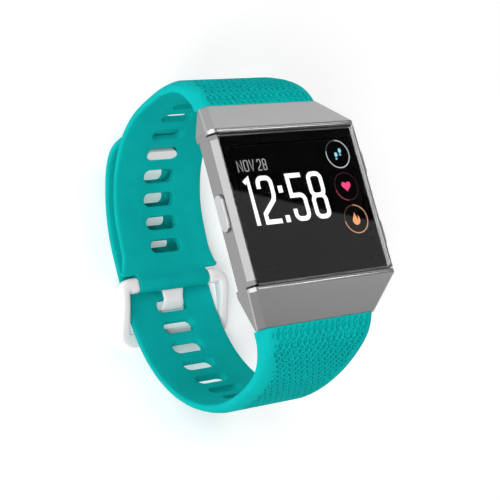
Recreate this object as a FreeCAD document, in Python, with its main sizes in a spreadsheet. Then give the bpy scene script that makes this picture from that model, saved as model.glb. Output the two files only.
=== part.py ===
"""Fitness tracker band: a square case on a slotted two-piece strap, closed by a buckle and a stud.

Millimetres. +Z is up and points out of the display, +Y to its top edge, +X to its right edge.
The origin is under the middle of the object, on the surface that it stands on.
"""
import FreeCAD, Part
import math
import os

os.makedirs("parts", exist_ok=True)
doc = FreeCAD.newDocument("fitness_tracker_band")

# ---------------------------------------------------------------- driving dimensions
SIZES = {
    "glass_height": 57.75, "glass_width": 34.6, "glass_length": 31.1, "glass_thick": 1.1,
    "glass_corner": 0.9, "glass_gap": 0.05,
    "case_width": 37.0, "frame_length": 30.4, "frame_thick": 4.7, "wall_thick": 2.0,
    "edge_chamfer": 1.15, "strip_width": 0.9,
    "cover_start": 16.5, "lug_end": 22.9, "lug_end_width": 29.8, "cover_thick": 1.75,
    "cover_top_drop": 0.2, "cover_end_drop": 5.3, "lug_base_drop": 5.4, "lug_tip_thick": 0.38,
    "back_width": 34.4, "back_length": 35.0, "back_drop": 10.0, "back_wall": 1.3, "back_corner": 4.0,
    "back_low_width": 28.4, "back_low_length": 32.0,
    "dome_diameter": 19.0, "dome_drop": 12.2, "window_diameter": 12.0,
    "panel_width": 29.6, "panel_length": 25.6, "panel_thick": 1.0,
    "button_long": 7.4, "button_tall": 2.5, "button_proud": 0.7, "button_sunk": 0.9,
    "button_play": 0.12, "button_drop": 2.75, "button_travel": 0.35, "stem_radius": 0.6,
    "side_button_offset": 7.6, "side_button_long": 6.2,
    "strap_lug_thick": 3.4, "strap_neck_thick": 2.5, "strap_mid_thick": 2.2, "strap_thin": 2.0, "strap_lug_half": 14.9,
    "strap_half": 11.6, "strap_narrow_height": 29.0, "strap_end_half": 13.0,
    "slot_wide": 8.1, "slot_tall": 2.95, "slot_pitch": 5.3, "tail_pitch": 5.08,
    "pin_y": -1.0, "pin_height": 4.4, "roll_radius": 1.8, "roll_half": 9.35, "roll_cutout": 3.0,
    "barrel_radius": 0.8, "barrel_half": 8.0, "pin_play": 0.05, "tip_radius": 0.5,
    "tip_end": 11.0, "tip_length": 5.5, "collar_radius": 0.72, "collar_wide": 0.3, "collar_middle": 9.15,
    "coil_radius": 0.38, "coil_wire": 0.085, "coil_turns": 12,
    "buckle_half": 14.6, "buckle_arm": 2.4, "boss_radius": 1.85, "boss_inner": 9.6,
    "tongue_wide": 5.3, "tongue_ring": 1.25, "tongue_play": 0.1,
    "peg_wide": 7.9, "peg_tall": 2.75,
    "connector_width": 25.0, "connector_depth": 4.6, "connector_thick": 1.25,
    "release_width": 9.0, "release_depth": 2.2, "release_thick": 1.2,
    "board_width": 27.0, "board_length": 24.6, "board_thick": 0.7, "chip_thick": 0.7,
    "screw_x": 12.0, "screw_y": 10.8, "screw_radius": 0.55, "screw_head": 1.0,
    "cell_width": 19.0, "cell_length": 21.0, "cell_thick": 3.6, "motor_radius": 3.5, "motor_thick": 2.8,
    "pad_radius": 0.9, "pad_pitch": 3.4, "pad_y": -13.0,
}
sheet = doc.addObject("Spreadsheet::Sheet", "sizes")
for row, (alias, value) in enumerate(SIZES.items(), start=1):
    sheet.set("A%d" % row, alias)
    sheet.set("B%d" % row, str(value))
    sheet.setAlias("B%d" % row, alias)
doc.recompute()

NODES = []


def size(alias):
    """A driving dimension, read back from the sheet."""
    return float(getattr(sheet, alias))


TOP = size("glass_height")


# ---------------------------------------------------------------- helpers
def bind(obj, sizes, place):
    """Bind properties and the placement's base to expressions over the sheet."""
    for prop, formula in sizes.items():
        obj.setExpression(prop, formula.replace("$", "sizes."))
    for axis, formula in zip("xyz", place):
        obj.setExpression("Placement.Base." + axis, formula.replace("$", "sizes."))
    return obj


def box(name, length, width, height, x, y, z):
    obj = doc.addObject("Part::Box", name)
    return bind(obj, {"Length": length, "Width": width, "Height": height}, (x, y, z))


def centred_box(name, length, width, height, z, x="0", y="0"):
    """A box centred on x and y, standing on z."""
    return box(name, length, width, height, "%s - (%s) / 2" % (x, length),
               "%s - (%s) / 2" % (y, width), z)


ROTATIONS = {
    "z": FreeCAD.Rotation(),
    "x": FreeCAD.Rotation(FreeCAD.Vector(0, 1, 0), 90),
    "y": FreeCAD.Rotation(FreeCAD.Vector(1, 0, 0), -90),
}


def cylinder(name, radius, height, x, y, z, along="z"):
    """A cylinder from its start point, along +x, +y or +z."""
    obj = doc.addObject("Part::Cylinder", name)
    obj.Placement.Rotation = ROTATIONS[along]
    return bind(obj, {"Radius": radius, "Height": height}, (x, y, z))


def cut(name, base, *tools):
    for number, tool in enumerate(tools):
        obj = doc.addObject("Part::Cut", "%s_cut%d" % (name, number))
        obj.Base = base
        obj.Tool = tool
        base = obj
    return base


def fuse(name, *shapes):
    obj = doc.addObject("Part::MultiFuse", name + "_fused")
    obj.Shapes = list(shapes)
    return obj


def common(name, base, tool):
    obj = doc.addObject("Part::Common", name + "_common")
    obj.Base = base
    obj.Tool = tool
    return obj


def edges_where(obj, test):
    """Numbers of the edges whose middle point and direction pass the test."""
    doc.recompute()
    found = []
    for number, edge in enumerate(obj.Shape.Edges, start=1):
        if len(edge.Vertexes) < 2:
            continue
        start, end = edge.Vertexes[0].Point, edge.Vertexes[-1].Point
        span = end - start
        if span.Length > 0 and test((start + end) / 2, span / span.Length):
            found.append(number)
    return found


def rounded(name, base, radius, test, kind="Part::Fillet"):
    obj = doc.addObject(kind, name)
    obj.Base = base
    obj.Edges = [(number, radius, radius) for number in edges_where(base, test)]
    return obj


def upright(middle, direction):
    return abs(direction.z) > 0.99


def node(label, obj):
    """Register an object as a sub-part: its Label names the file."""
    obj.Label = label
    NODES.append(obj)
    return obj


def shaped(label, shape, offset=(0, 0, 0)):
    """A sub-part or cutter whose shape comes from curves worked out below."""
    obj = doc.addObject("Part::Feature", label)
    obj.Shape = shape
    obj.Placement.Base = FreeCAD.Vector(*offset)
    return obj


def side_face(points, x):
    """A face in the plane x, from (y, z) points; a point may be (y, z, "arc") for an arc's middle."""
    vectors = [FreeCAD.Vector(x, point[0], point[1]) for point in points]
    edges = []
    index = 0
    count = len(points)
    while index < count:
        following = (index + 1) % count
        if len(points[following]) == 3:
            last = (index + 2) % count
            edges.append(Part.Arc(vectors[index], vectors[following], vectors[last]).toShape())
            index += 2
        else:
            edges.append(Part.makeLine(vectors[index], vectors[following]))
            index += 1
    return Part.Face(Part.Wire(edges))


def side_prism(points, half):
    """A prism of a side outline, from -half to +half along x."""
    return side_face(points, -half).extrude(FreeCAD.Vector(2 * half, 0, 0))


def pill(wide, tall, low, high):
    """An obround column along z: wide along x, tall along y, from low to high."""
    radius = tall / 2
    reach = wide / 2 - radius
    corners = [(-reach, -radius), (reach, -radius), (reach, radius), (-reach, radius)]
    points = [FreeCAD.Vector(x, y, low) for x, y in corners]
    right = FreeCAD.Vector(wide / 2, 0, low)
    left = FreeCAD.Vector(-wide / 2, 0, low)
    wire = Part.Wire([
        Part.makeLine(points[0], points[1]),
        Part.Arc(points[1], right, points[2]).toShape(),
        Part.makeLine(points[2], points[3]),
        Part.Arc(points[3], left, points[0]).toShape(),
    ])
    return Part.Face(wire).extrude(FreeCAD.Vector(0, 0, high - low))


# ---------------------------------------------------------------- strap paths
class Path:
    """A chain of tangent arcs in the (y, z) plane, walked by its length.

    Each step is (radius, turn in degrees); a straight step is (None, length).
    The path turns to the right, so its left normal points out of the loop.
    """

    def __init__(self, start, heading, steps, side):
        self.side = side
        self.legs = []
        y, z, angle = start[0], start[1], math.radians(heading)
        self.length = 0.0
        for radius, amount in steps:
            span = amount if radius is None else radius * math.radians(amount)
            self.legs.append((self.length, span, radius, y, z, angle))
            y, z, angle = self.advance(radius, y, z, angle, span)
            self.length += span

    @staticmethod
    def advance(radius, y, z, angle, distance):
        if radius is None:
            return y + distance * math.cos(angle), z + distance * math.sin(angle), angle
        turned = angle - distance / radius
        y += radius * (math.sin(angle) - math.sin(turned))
        z -= radius * (math.cos(angle) - math.cos(turned))
        return y, z, turned

    def at(self, distance):
        """(y, z, tangent, outward normal) at a distance along the path."""
        for start, span, radius, y, z, angle in self.legs:
            if distance <= start + span + 1e-9 or (start, span) == self.legs[-1][:2]:
                y, z, turned = self.advance(radius, y, z, angle, distance - start)
                tangent = (self.side * math.cos(turned), math.sin(turned))
                normal = (self.side * -math.sin(turned), math.cos(turned))
                return self.side * y, z, tangent, normal

    def offset(self, distance, outward):
        y, z, _, normal = self.at(distance)
        return y + normal[0] * outward, z + normal[1] * outward


def strap_thickness(distance):
    """Thickness along a strap: thick at the lug, easing to the thin slotted stretch."""
    knots = [(0.0, size("strap_lug_thick")), (10.0, size("strap_neck_thick")),
             (24.0, size("strap_mid_thick")), (38.0, size("strap_thin"))]
    for (start, first), (end, second) in zip(knots, knots[1:]):
        if distance < end:
            share = (distance - start) / (end - start)
            eased = share * share * (3 - 2 * share)
            return first + (second - first) * eased
    return size("strap_thin")


def strap_solid(path, half):
    """The strap's side outline, smooth through stations along the path, made a prism."""
    stations = [path.length * step / 36 for step in range(37)]
    inner = [FreeCAD.Vector(-half, *path.offset(s, 0.0)) for s in stations]
    outer = [FreeCAD.Vector(-half, *path.offset(s, strap_thickness(s))) for s in stations]
    inner_curve = Part.BSplineCurve()
    inner_curve.interpolate(inner)
    outer_curve = Part.BSplineCurve()
    outer_curve.interpolate(outer)
    root_y = path.side * (size("lug_end") + 0.05)
    root_top = FreeCAD.Vector(-half, root_y, TOP - size("cover_end_drop") - 0.05)
    root_base = FreeCAD.Vector(-half, root_y, inner[0].z)
    wire = Part.Wire([
        inner_curve.toShape(), Part.makeLine(inner[-1], outer[-1]),
        outer_curve.toShape(), Part.makeLine(outer[0], root_top),
        Part.makeLine(root_top, root_base), Part.makeLine(root_base, inner[0]),
    ])
    return Part.Face(wire).extrude(FreeCAD.Vector(2 * half, 0, 0))


def strap_outline(half_low):
    """Front outline of a strap, narrowing from the lug down, as a block along y."""
    lug_half = size("strap_lug_half")
    narrow = size("strap_narrow_height")
    corners = [(-half_low, -5), (half_low, -5), (half_low, narrow), (lug_half, TOP - 8),
               (lug_half, TOP), (-lug_half, TOP), (-lug_half, TOP - 8), (-half_low, narrow)]
    points = [FreeCAD.Vector(x, -60, z) for x, z in corners]
    return Part.Face(Part.makePolygon(points + points[:1])).extrude(FreeCAD.Vector(0, 120, 0))


def on_path(shape, path, distance):
    """Turn a shape made about the origin (z outwards) to stand on a path."""
    y, z, tangent, normal = path.at(distance)
    matrix = FreeCAD.Matrix(
        1, 0, 0, 0,
        0, tangent[0], normal[0], y,
        0, tangent[1], normal[1], z,
        0, 0, 0, 1)
    return shape.transformGeometry(matrix)


LUG_EXIT = (size("lug_end") + 0.1, TOP - 8.7)
LOWER_SIDE = [(15.0, 43.0), (37.0, 13.0), (26.6, 83.8)]
BASE = [(43.65, 14.2), (None, 8.5)]
TAIL = [(33.33, 32.6), (11.5, 25.5), (None, 5.4)]
UPPER_SIDE = [(15.0, 48.9), (36.2, 25.0), (19.9, 30.1), (23.5, 45.3), (None, 11.2)]
LOWER = Path(LUG_EXIT, -26.0, LOWER_SIDE + BASE + TAIL, side=-1)
UPPER = Path(LUG_EXIT, -26.0, UPPER_SIDE, side=1)
PIN = (size("pin_y"), size("pin_height"))


def nearest(path, y, z):
    """Length along a path at its point nearest to (y, z)."""
    steps = [path.length * step / 2000 for step in range(2001)]
    return min(steps, key=lambda s: math.hypot(path.at(s)[0] - y, path.at(s)[1] - z))


TONGUE_SLOT = nearest(LOWER, -6.1, 0.0)
PEG = TONGUE_SLOT + 7 * size("slot_pitch")
PEG_SLOT = nearest(UPPER, *LOWER.at(PEG)[:2])
LOWER_SLOTS = [TONGUE_SLOT + number * size("slot_pitch") for number in range(-6, 1)]
LOWER_SLOTS += [TONGUE_SLOT + number * size("tail_pitch") for number in range(1, 7)]
UPPER_SLOTS = [PEG_SLOT + number * size("slot_pitch") for number in range(-3, 5)]


def slot_cutter(path, distance):
    deep = size("strap_mid_thick") + 1.0
    return on_path(pill(size("slot_wide"), size("slot_tall"), -1.0, deep), path, distance)


# ---------------------------------------------------------------- case frame
def lug_wedge(name, top, base, end_top, end_base, sign):
    """A tapering block from the end cover's start to the lug's end; heights are drops from the glass."""
    wedge = doc.addObject("Part::Wedge", name)
    formulas = {
        "Xmin": "-$case_width / 2", "Xmax": "$case_width / 2",
        "X2min": "-$lug_end_width / 2", "X2max": "$lug_end_width / 2",
        "Ymin": "0", "Ymax": "$lug_end - $cover_start",
        "Zmin": "-(%s)" % base, "Zmax": "-(%s)" % top,
        "Z2min": "-(%s)" % end_base, "Z2max": "-(%s)" % end_top,
    }
    if sign < 0:
        wedge.Placement.Rotation = FreeCAD.Rotation(FreeCAD.Vector(0, 0, 1), 180)
    return bind(wedge, formulas, ("0", "%d * $cover_start" % sign, "$glass_height"))


def case_frame():
    ring = centred_box("frame_block", "$case_width", "$frame_length", "$frame_thick",
                       "$glass_height - $frame_thick")
    side_top = TOP - 0.01
    chamfered = rounded("frame_chamfer", ring, size("edge_chamfer"),
                        lambda middle, along: abs(along.y) > 0.99 and middle.z > side_top, "Part::Chamfer")
    lugs = []
    for end, sign in (("upper", 1), ("lower", -1)):
        lugs.append(lug_wedge(end + "_lug", "$cover_top_drop + $cover_thick + 0.02", "$lug_base_drop",
                              "$cover_end_drop + $cover_thick + 0.02",
                              "$cover_end_drop + $cover_thick + $lug_tip_thick", sign))
        start = "$frame_length / 2 - 0.01" if sign > 0 else "-$cover_start"
        depth = "$cover_start - $frame_length / 2 + 0.01"
        height = "$lug_base_drop - $cover_top_drop - $cover_thick - 0.02"
        lugs.append(box(end + "_lug_root", "$case_width", depth, height,
                        "-$case_width / 2", start, "$glass_height - $lug_base_drop"))
    shell = fuse("frame_shell", chamfered, *lugs)
    glass_seat = centred_box("glass_seat", "$glass_width + 2 * $glass_gap", "$glass_length + 2 * $glass_gap",
                             "$glass_thick + 0.15", "$glass_height - $glass_thick - 0.1")
    cavity = centred_box("frame_cavity", "$case_width - 2 * $wall_thick", "$frame_length - 3.4",
                         "$frame_thick + 2", "$glass_height - $frame_thick - 1")
    tools = [glass_seat, rounded("cavity_corners", cavity, 2.5, upright)]
    for name, side, middle, long in BUTTONS:
        tools.append(button_pocket(name, side, middle, long))
        start = "-$case_width / 2 - 0.5" if side < 0 else "$case_width / 2 - $wall_thick - 0.5"
        tools.append(cylinder(name + "_bore", "$stem_radius + 0.1", "$wall_thick + 1", start, middle,
                              "$glass_height - $button_drop", "x"))
    for end, sign in (("upper", 1), ("lower", -1)):
        for side in (-1, 1):
            tools.append(strip_box("strip_seat_%s%d" % (end, side), sign, side, "0"))
    node("case_frame", cut("case_frame", shell, *tools))


BUTTONS = [
    ("button_left", -1, "0", "$button_long"),
    ("button_right_upper", 1, "$side_button_offset", "$side_button_long"),
    ("button_right_lower", 1, "-$side_button_offset", "$side_button_long"),
]


def button_pocket(name, side, middle, long):
    """The rounded recess that a button sinks into."""
    deep = "$button_sunk + $button_travel + 0.05"
    start = "-$case_width / 2 - 0.2" if side < 0 else "$case_width / 2 - (%s)" % deep
    block = box(name + "_recess", deep + " + 0.2", long + " + 2 * $button_play",
                "$button_tall + 2 * $button_play", start,
                "%s - (%s) / 2 - $button_play" % (middle, long),
                "$glass_height - $button_drop - $button_tall / 2 - $button_play")
    radius = size("button_tall") / 2 + size("button_play") - 0.01
    return rounded(name + "_recess_ends", block, radius, lambda middle_, along: abs(along.x) > 0.99)


def strip_box(name, sign, side, gap):
    """One antenna break in the frame's chamfered edge, at one corner of the glass."""
    start = "$frame_length / 2 - $strip_width + %s" % gap
    if sign < 0:
        start = "-$frame_length / 2"
    left = "$glass_width / 2 + $glass_gap + %s" % gap
    if side < 0:
        left = "-$case_width / 2 - 0.2"
    return box(name, "($case_width - $glass_width) / 2 + 0.15 - %s" % gap, "$strip_width - %s" % gap, "2.2",
               left, start, "$glass_height - 1.9 + %s" % gap)


def antenna_strips():
    for end, sign in (("upper", 1), ("lower", -1)):
        pieces = []
        for side in (-1, 1):
            name = "strip_%s%d" % (end, side)
            outside = box(name + "_form", "$case_width", "$strip_width", "1.88", "-$case_width / 2",
                          "$frame_length / 2 - $strip_width" if sign > 0 else "-$frame_length / 2",
                          "$glass_height - 1.88")
            form = rounded(name + "_form_edge", outside, size("edge_chamfer"),
                           lambda middle, along: abs(along.y) > 0.99 and middle.z > TOP - 0.01,
                           "Part::Chamfer")
            pieces.append(common(name, form, strip_box(name + "_seat", sign, side, "0.02")))
        node("antenna_strip_" + end, fuse("antenna_strip_" + end, *pieces))


def end_covers():
    for end, sign in (("upper", 1), ("lower", -1)):
        name = end + "_end_cover"
        slope = lug_wedge(name + "_slope", "$cover_top_drop", "$cover_top_drop + $cover_thick",
                          "$cover_end_drop", "$cover_end_drop + $cover_thick", sign)
        edge = "$glass_length / 2 + 2 * $glass_gap"
        start = edge if sign > 0 else "-$cover_start"
        rim = box(name + "_rim", "$case_width", "$cover_start - (%s)" % edge, "$cover_thick",
                  "-$case_width / 2", start, "$glass_height - $cover_top_drop - $cover_thick")
        whole = fuse(name, rim, slope)
        whole.Refine = True

        def top_side(middle, along):
            run = (abs(middle.y) - size("cover_start")) / (size("lug_end") - size("cover_start"))
            drop = size("cover_top_drop") + max(run, 0) * (size("cover_end_drop") - size("cover_top_drop"))
            return abs(middle.z - TOP + drop) < 0.02 and abs(middle.x) > 10

        node(name, rounded(name + "_edges", whole, 1.0, top_side, "Part::Chamfer"))


# ---------------------------------------------------------------- display stack
def display_stack():
    glass = centred_box("glass_block", "$glass_width", "$glass_length", "$glass_thick",
                        "$glass_height - $glass_thick")
    corners = rounded("glass_corners", glass, size("glass_corner"), upright)
    node("cover_glass", rounded("glass_edge", corners, 0.25,
                                lambda middle, along: middle.z > TOP - 0.01))
    outer = centred_box("gasket_outer", "$glass_width - 1.2", "$glass_length - 1.2", "0.08",
                        "$glass_height - $glass_thick - 0.09")
    inner = centred_box("gasket_inner", "$panel_width + 0.4", "$panel_length + 0.4", "1",
                        "$glass_height - $glass_thick - 0.5")
    node("display_gasket", cut("display_gasket", outer, inner))
    panel = centred_box("panel_block", "$panel_width", "$panel_length", "$panel_thick",
                        "$glass_height - $glass_thick - $panel_thick - 0.02")
    node("display_panel", rounded("panel_corners", panel, 0.6, upright))
    plate = centred_box("plate_block", "$panel_width", "$panel_length + 0.4", "0.4",
                        "$glass_height - $glass_thick - $panel_thick - 0.45")
    window = centred_box("plate_window", "6", "3", "1", "$glass_height - $glass_thick - $panel_thick - 0.8",
                         y="-$panel_length / 2 + 3")
    node("display_plate", cut("display_plate", rounded("plate_corners", plate, 0.6, upright), window))


# ---------------------------------------------------------------- inside
def electronics():
    """The board under the display with its screws and chips, the cell and the vibration motor."""
    board = centred_box("board_block", "$board_width", "$board_length", "$board_thick",
                        "$glass_height - 3.9")
    holes = []
    screws = []
    for index, (across, along) in enumerate(((-1, -1), (1, -1), (-1, 1), (1, 1))):
        x, y = "%d * $screw_x" % across, "%d * $screw_y" % along
        holes.append(cylinder("board_hole%d" % index, "$screw_radius + 0.05", "2", x, y,
                              "$glass_height - 4.5"))
        shank = cylinder("screw_shank%d" % index, "$screw_radius", "1.7", x, y, "$glass_height - 4.8")
        head = cylinder("screw_head%d" % index, "$screw_head", "0.35", x, y, "$glass_height - 3.19")
        screws += [head, shank]
    node("main_board", cut("main_board", rounded("board_corners", board, 1.5, upright), *holes))
    node("board_screws", fuse("board_screws", *screws))
    chips = []
    for index, (x, y, wide, long) in enumerate(((-6, 4, 8, 8), (5, 5, 6, 7), (4, -4, 9, 5), (-7, -5, 4, 5))):
        chips.append(centred_box("chip%d" % index, str(wide), str(long), "$chip_thick",
                                 "$glass_height - 4.61", str(x), str(y)))
    node("board_chips", fuse("board_chips", *chips))
    cell = centred_box("cell_block", "$cell_width", "$cell_length", "$cell_thick",
                       "$glass_height - 8.5", "-3.6")
    node("battery", rounded("cell_edges", cell, 1.2, upright))
    motor = cylinder("motor_body", "$motor_radius", "$motor_thick", "9.7", "-6", "$glass_height - 8.5")
    node("vibration_motor", motor)


# ---------------------------------------------------------------- back
def back_wedge(name, rise, depth, inset):
    """A block that narrows downwards like the back cover, from a rise above its top to a depth below."""
    fall = "($back_drop - $frame_thick)"
    wedge = doc.addObject("Part::Wedge", name)
    wedge.Placement.Rotation = FreeCAD.Rotation(FreeCAD.Vector(1, 0, 0), -90)
    formulas = {"Ymin": "-(%s)" % rise, "Ymax": depth}
    for axis, wide, low in (("X", "$back_width", "$back_low_width"), ("Z", "$back_length", "$back_low_length")):
        for prefix, level in ((axis, "-(%s)" % rise), (axis + "2", depth)):
            half = "(%s - (%s - %s) * (%s) / %s) / 2 - %s" % (wide, wide, low, level, fall, inset)
            formulas[prefix + "min"] = "-(%s)" % half
            formulas[prefix + "max"] = half
    return bind(wedge, formulas, ("0", "0", "$glass_height - $frame_thick"))


def steep(middle, direction):
    return abs(direction.z) > 0.7


def back():
    tray = back_wedge("back_block", "0", "$back_drop - $frame_thick", "0")
    corners = rounded("back_corners", tray, size("back_corner"), steep)
    eased = rounded("back_rim", corners, 1.6, lambda middle, along: middle.z < TOP - size("back_drop") + 0.01)
    dome_low = cylinder("dome_base", "$dome_diameter / 2", "$dome_drop - $back_drop + 0.5", "0", "0",
                        "$glass_height - $dome_drop")
    dome = rounded("dome_edge", dome_low, 1.2, lambda middle, along: False)
    dome.Edges = [(number, 1.2, 1.2) for number, edge in enumerate(dome_low.Shape.Edges, start=1)
                  if edge.BoundBox.ZMax < TOP - size("dome_drop") + 0.01]
    shell = fuse("back_shell", eased, dome)
    hollow = back_wedge("back_hollow", "0.1", "$back_drop - $frame_thick - $back_wall", "$back_wall")
    lug_space = []
    for end, sign in (("upper", 1), ("lower", -1)):
        lug_space.append(lug_wedge(end + "_back_clearance", "0", "$lug_base_drop + 0.02", "0",
                                   "$cover_end_drop + $cover_thick + $lug_tip_thick + 0.02", sign))
        lug_space.append(box(end + "_root_clearance", "$case_width", "$cover_start - $frame_length / 2 + 0.02",
                             "$lug_base_drop", "-$case_width / 2",
                             "$frame_length / 2 - 0.02" if sign > 0 else "-$cover_start",
                             "$glass_height - $lug_base_drop - 0.02"))
    opening = cylinder("window_seat", "$window_diameter / 2 + 0.02", "4", "0", "0",
                       "$glass_height - $dome_drop - 0.5")
    pad_places = ["%g * $pad_pitch" % (index - 1.5) for index in range(4)]
    pads = [cylinder("pad_seat%d" % index, "$pad_radius + 0.02", "4", x, "$pad_y",
                     "$glass_height - $back_drop - 1") for index, x in enumerate(pad_places)]
    seats = [rounded("hollow_corners", hollow, 2.8, steep), *lug_space, opening, *pads]
    node("back_cover", cut("back_cover", shell, *seats))
    contacts = [cylinder("contact%d" % index, "$pad_radius", "$back_wall - 0.05", x, "$pad_y",
                         "$glass_height - $back_drop + 0.05") for index, x in enumerate(pad_places)]
    node("charging_contacts", fuse("charging_contacts", *contacts))
    pane = cylinder("window_pane", "$window_diameter / 2", "0.9", "0", "0",
                    "$glass_height - $dome_drop - 0.15")
    doc.recompute()
    eased_pane = doc.addObject("Part::Fillet", "window_edge")
    eased_pane.Base = pane
    eased_pane.Edges = [(number, 0.4, 0.4) for number, edge in enumerate(pane.Shape.Edges, start=1)
                        if edge.BoundBox.ZMax < TOP - size("dome_drop")]
    node("sensor_window", eased_pane)
    node("sensor_board", cylinder("sensor_board", "$window_diameter / 2 - 0.5", "0.5", "0", "0",
                                  "$glass_height - $dome_drop + 1.75"))
    leds = [centred_box("led%d" % index, "1.4", "1.4", "0.6", "$glass_height - $dome_drop + 1.1", x, "0")
            for index, x in enumerate(("-3.6", "3.6"))]
    node("sensor_leds", fuse("sensor_leds", *leds))
    node("sensor_photodiode", centred_box("sensor_photodiode", "2.6", "2.6", "0.5",
                                          "$glass_height - $dome_drop + 1.2"))


# ---------------------------------------------------------------- buttons
def buttons():
    seals = []
    switches = []
    for name, side, middle, long in BUTTONS:
        deep = "$button_proud + $button_sunk"
        start = "-$case_width / 2 - $button_proud" if side < 0 else "$case_width / 2 - $button_sunk"
        block = box(name + "_block", deep, long, "$button_tall", start, "%s - (%s) / 2" % (middle, long),
                    "$glass_height - $button_drop - $button_tall / 2")
        pill_block = rounded(name + "_ends", block, size("button_tall") / 2 - 0.01,
                             lambda middle_, along: abs(along.x) > 0.99)
        face = side * (size("case_width") / 2 + size("button_proud"))
        cap = rounded(name + "_edge", pill_block, 0.25, lambda middle_, along: False)
        cap.Edges = [(number, 0.25, 0.25) for number, edge in enumerate(pill_block.Shape.Edges, start=1)
                     if abs(edge.BoundBox.Center.x - face) < 0.01]
        stem_start = "-$case_width / 2" if side < 0 else "$case_width / 2 - $wall_thick - 0.5"
        stem = cylinder(name + "_stem", "$stem_radius", "$wall_thick + 0.5", stem_start, middle,
                        "$glass_height - $button_drop", "x")
        node(name, fuse(name, cap, stem))
        inner = "-$case_width / 2 + $wall_thick" if side < 0 else "$case_width / 2 - $wall_thick - 0.4"
        ring = cylinder(name + "_seal_ring", "$stem_radius + 0.6", "0.4", inner, middle,
                        "$glass_height - $button_drop", "x")
        hole = cylinder(name + "_seal_hole", "$stem_radius + 0.04", "2", inner + " - 0.5", middle,
                        "$glass_height - $button_drop", "x")
        seals.append(cut(name + "_seal", ring, hole))
        gap = "0.5 + $button_travel + 0.1"
        back_x = ("-$case_width / 2 + $wall_thick + %s" % gap if side < 0
                  else "$case_width / 2 - $wall_thick - (%s) - 0.6" % gap)
        switches.append(box(name + "_switch", "0.6", "3", "1.6", back_x, middle + " - 1.5",
                            "$glass_height - $button_drop - 0.9"))
    node("button_seals", fuse("button_seals", *seals))
    node("button_switches", fuse("button_switches", *switches))


# ---------------------------------------------------------------- straps
def strap_upper():
    far = 20.0
    band = strap_solid(UPPER, far)
    flare_start, flare_end = 6.5, 1.15
    shoulder = size("strap_half")
    wide = size("strap_end_half")
    outline = [(-shoulder, flare_start), (-wide, flare_end), (wide, flare_end), (shoulder, flare_start)]
    points = [FreeCAD.Vector(x, y, -1) for x, y in outline]
    flare = Part.Face(Part.makePolygon(points + points[:1])).extrude(FreeCAD.Vector(0, 0, 12))
    end_trim = Part.makeBox(2 * far, 20, 12, FreeCAD.Vector(-far, flare_end - 20, -1))
    main = band.common(strap_outline(shoulder)).cut(end_trim)
    neck_half = size("roll_half")
    neck_space = Part.makeBox(2 * neck_half, 3, 12, FreeCAD.Vector(-neck_half, flare_end - 3, -1))
    roll = Part.makeCylinder(size("roll_radius"), 2 * neck_half, FreeCAD.Vector(-neck_half, *PIN),
                             FreeCAD.Vector(1, 0, 0))
    root = side_prism([(PIN[0], PIN[1] + size("roll_radius")), (flare_end + 0.5, UPPER.at(UPPER.length)[1]),
                       (flare_end + 0.5, UPPER.at(UPPER.length)[1] - size("strap_thin")),
                       (PIN[0] + 1.2, PIN[1] - 1.2), (PIN[0], PIN[1])], neck_half)
    whole = main.fuse([band.common(flare), band.common(neck_space), roll, root.common(neck_space)])
    bore = Part.makeCylinder(size("barrel_radius") + size("pin_play"), 2 * far,
                             FreeCAD.Vector(-far, *PIN), FreeCAD.Vector(1, 0, 0))
    half_cut = size("roll_cutout")
    ring_radius = size("tongue_ring") + size("tongue_play")
    ring_space = Part.makeCylinder(ring_radius, 2 * half_cut, FreeCAD.Vector(-half_cut, *PIN),
                                   FreeCAD.Vector(1, 0, 0))
    below = Part.makeBox(2 * half_cut, ring_radius + 4, 6, FreeCAD.Vector(-half_cut, PIN[0] - 4, PIN[1] - 6))
    peg_slot = on_path(pill(size("slot_wide"), size("slot_tall"), -5.0, 0.5), LOWER, PEG)
    tools = [bore, ring_space.fuse(below), peg_slot] + [slot_cutter(UPPER, s) for s in UPPER_SLOTS if s != PEG_SLOT]
    node("strap_upper", shaped("strap_upper", whole.cut(tools).removeSplitter()))


def strap_lower():
    band = strap_solid(LOWER, 20.0)
    body = band.common(strap_outline(size("strap_half")))
    tip = LOWER.at(LOWER.length)[1] + 0.2
    half, corner = size("strap_half"), 6.0
    low = tip - 9.0
    slack = 10.0
    away = corner * (1 - math.sqrt(0.5))
    corners = [(-half, tip - corner), (-half + away, tip - away), (-half + corner, tip),
               (half - corner, tip), (half - away, tip - away), (half, tip - corner)]
    v = [FreeCAD.Vector(x, 20, z) for x, z in corners]
    far = half + slack
    surround = [(half, low), (far, low), (far, tip + slack), (-far, tip + slack), (-far, low), (-half, low)]
    frame_points = [FreeCAD.Vector(x, 20, z) for x, z in surround]
    edges = [Part.Arc(v[0], v[1], v[2]).toShape(), Part.makeLine(v[2], v[3]),
             Part.Arc(v[3], v[4], v[5]).toShape(), Part.makeLine(v[5], frame_points[0])]
    edges += [Part.makeLine(first, second) for first, second in zip(frame_points, frame_points[1:])]
    edges.append(Part.makeLine(frame_points[-1], v[0]))
    tip_trim = Part.Face(Part.Wire(edges)).extrude(FreeCAD.Vector(0, 20, 0))
    tools = [tip_trim, on_path(peg_form(0.5), LOWER, PEG)]
    tools += [slot_cutter(LOWER, s) for s in LOWER_SLOTS]
    node("strap_lower", shaped("strap_lower", body.cut(tools).removeSplitter()))


def peg_form(inward):
    """The stud about its own origin: a flanged root in the tail, and a shank inwards by a length."""
    thin = size("strap_thin")
    shank = pill(size("peg_wide"), size("peg_tall"), -inward, thin)
    flange = pill(size("peg_wide") + 1.6, size("peg_tall") + 1.6, 0.35 * thin, 0.75 * thin)
    return shank.fuse(flange).removeSplitter()


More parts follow.
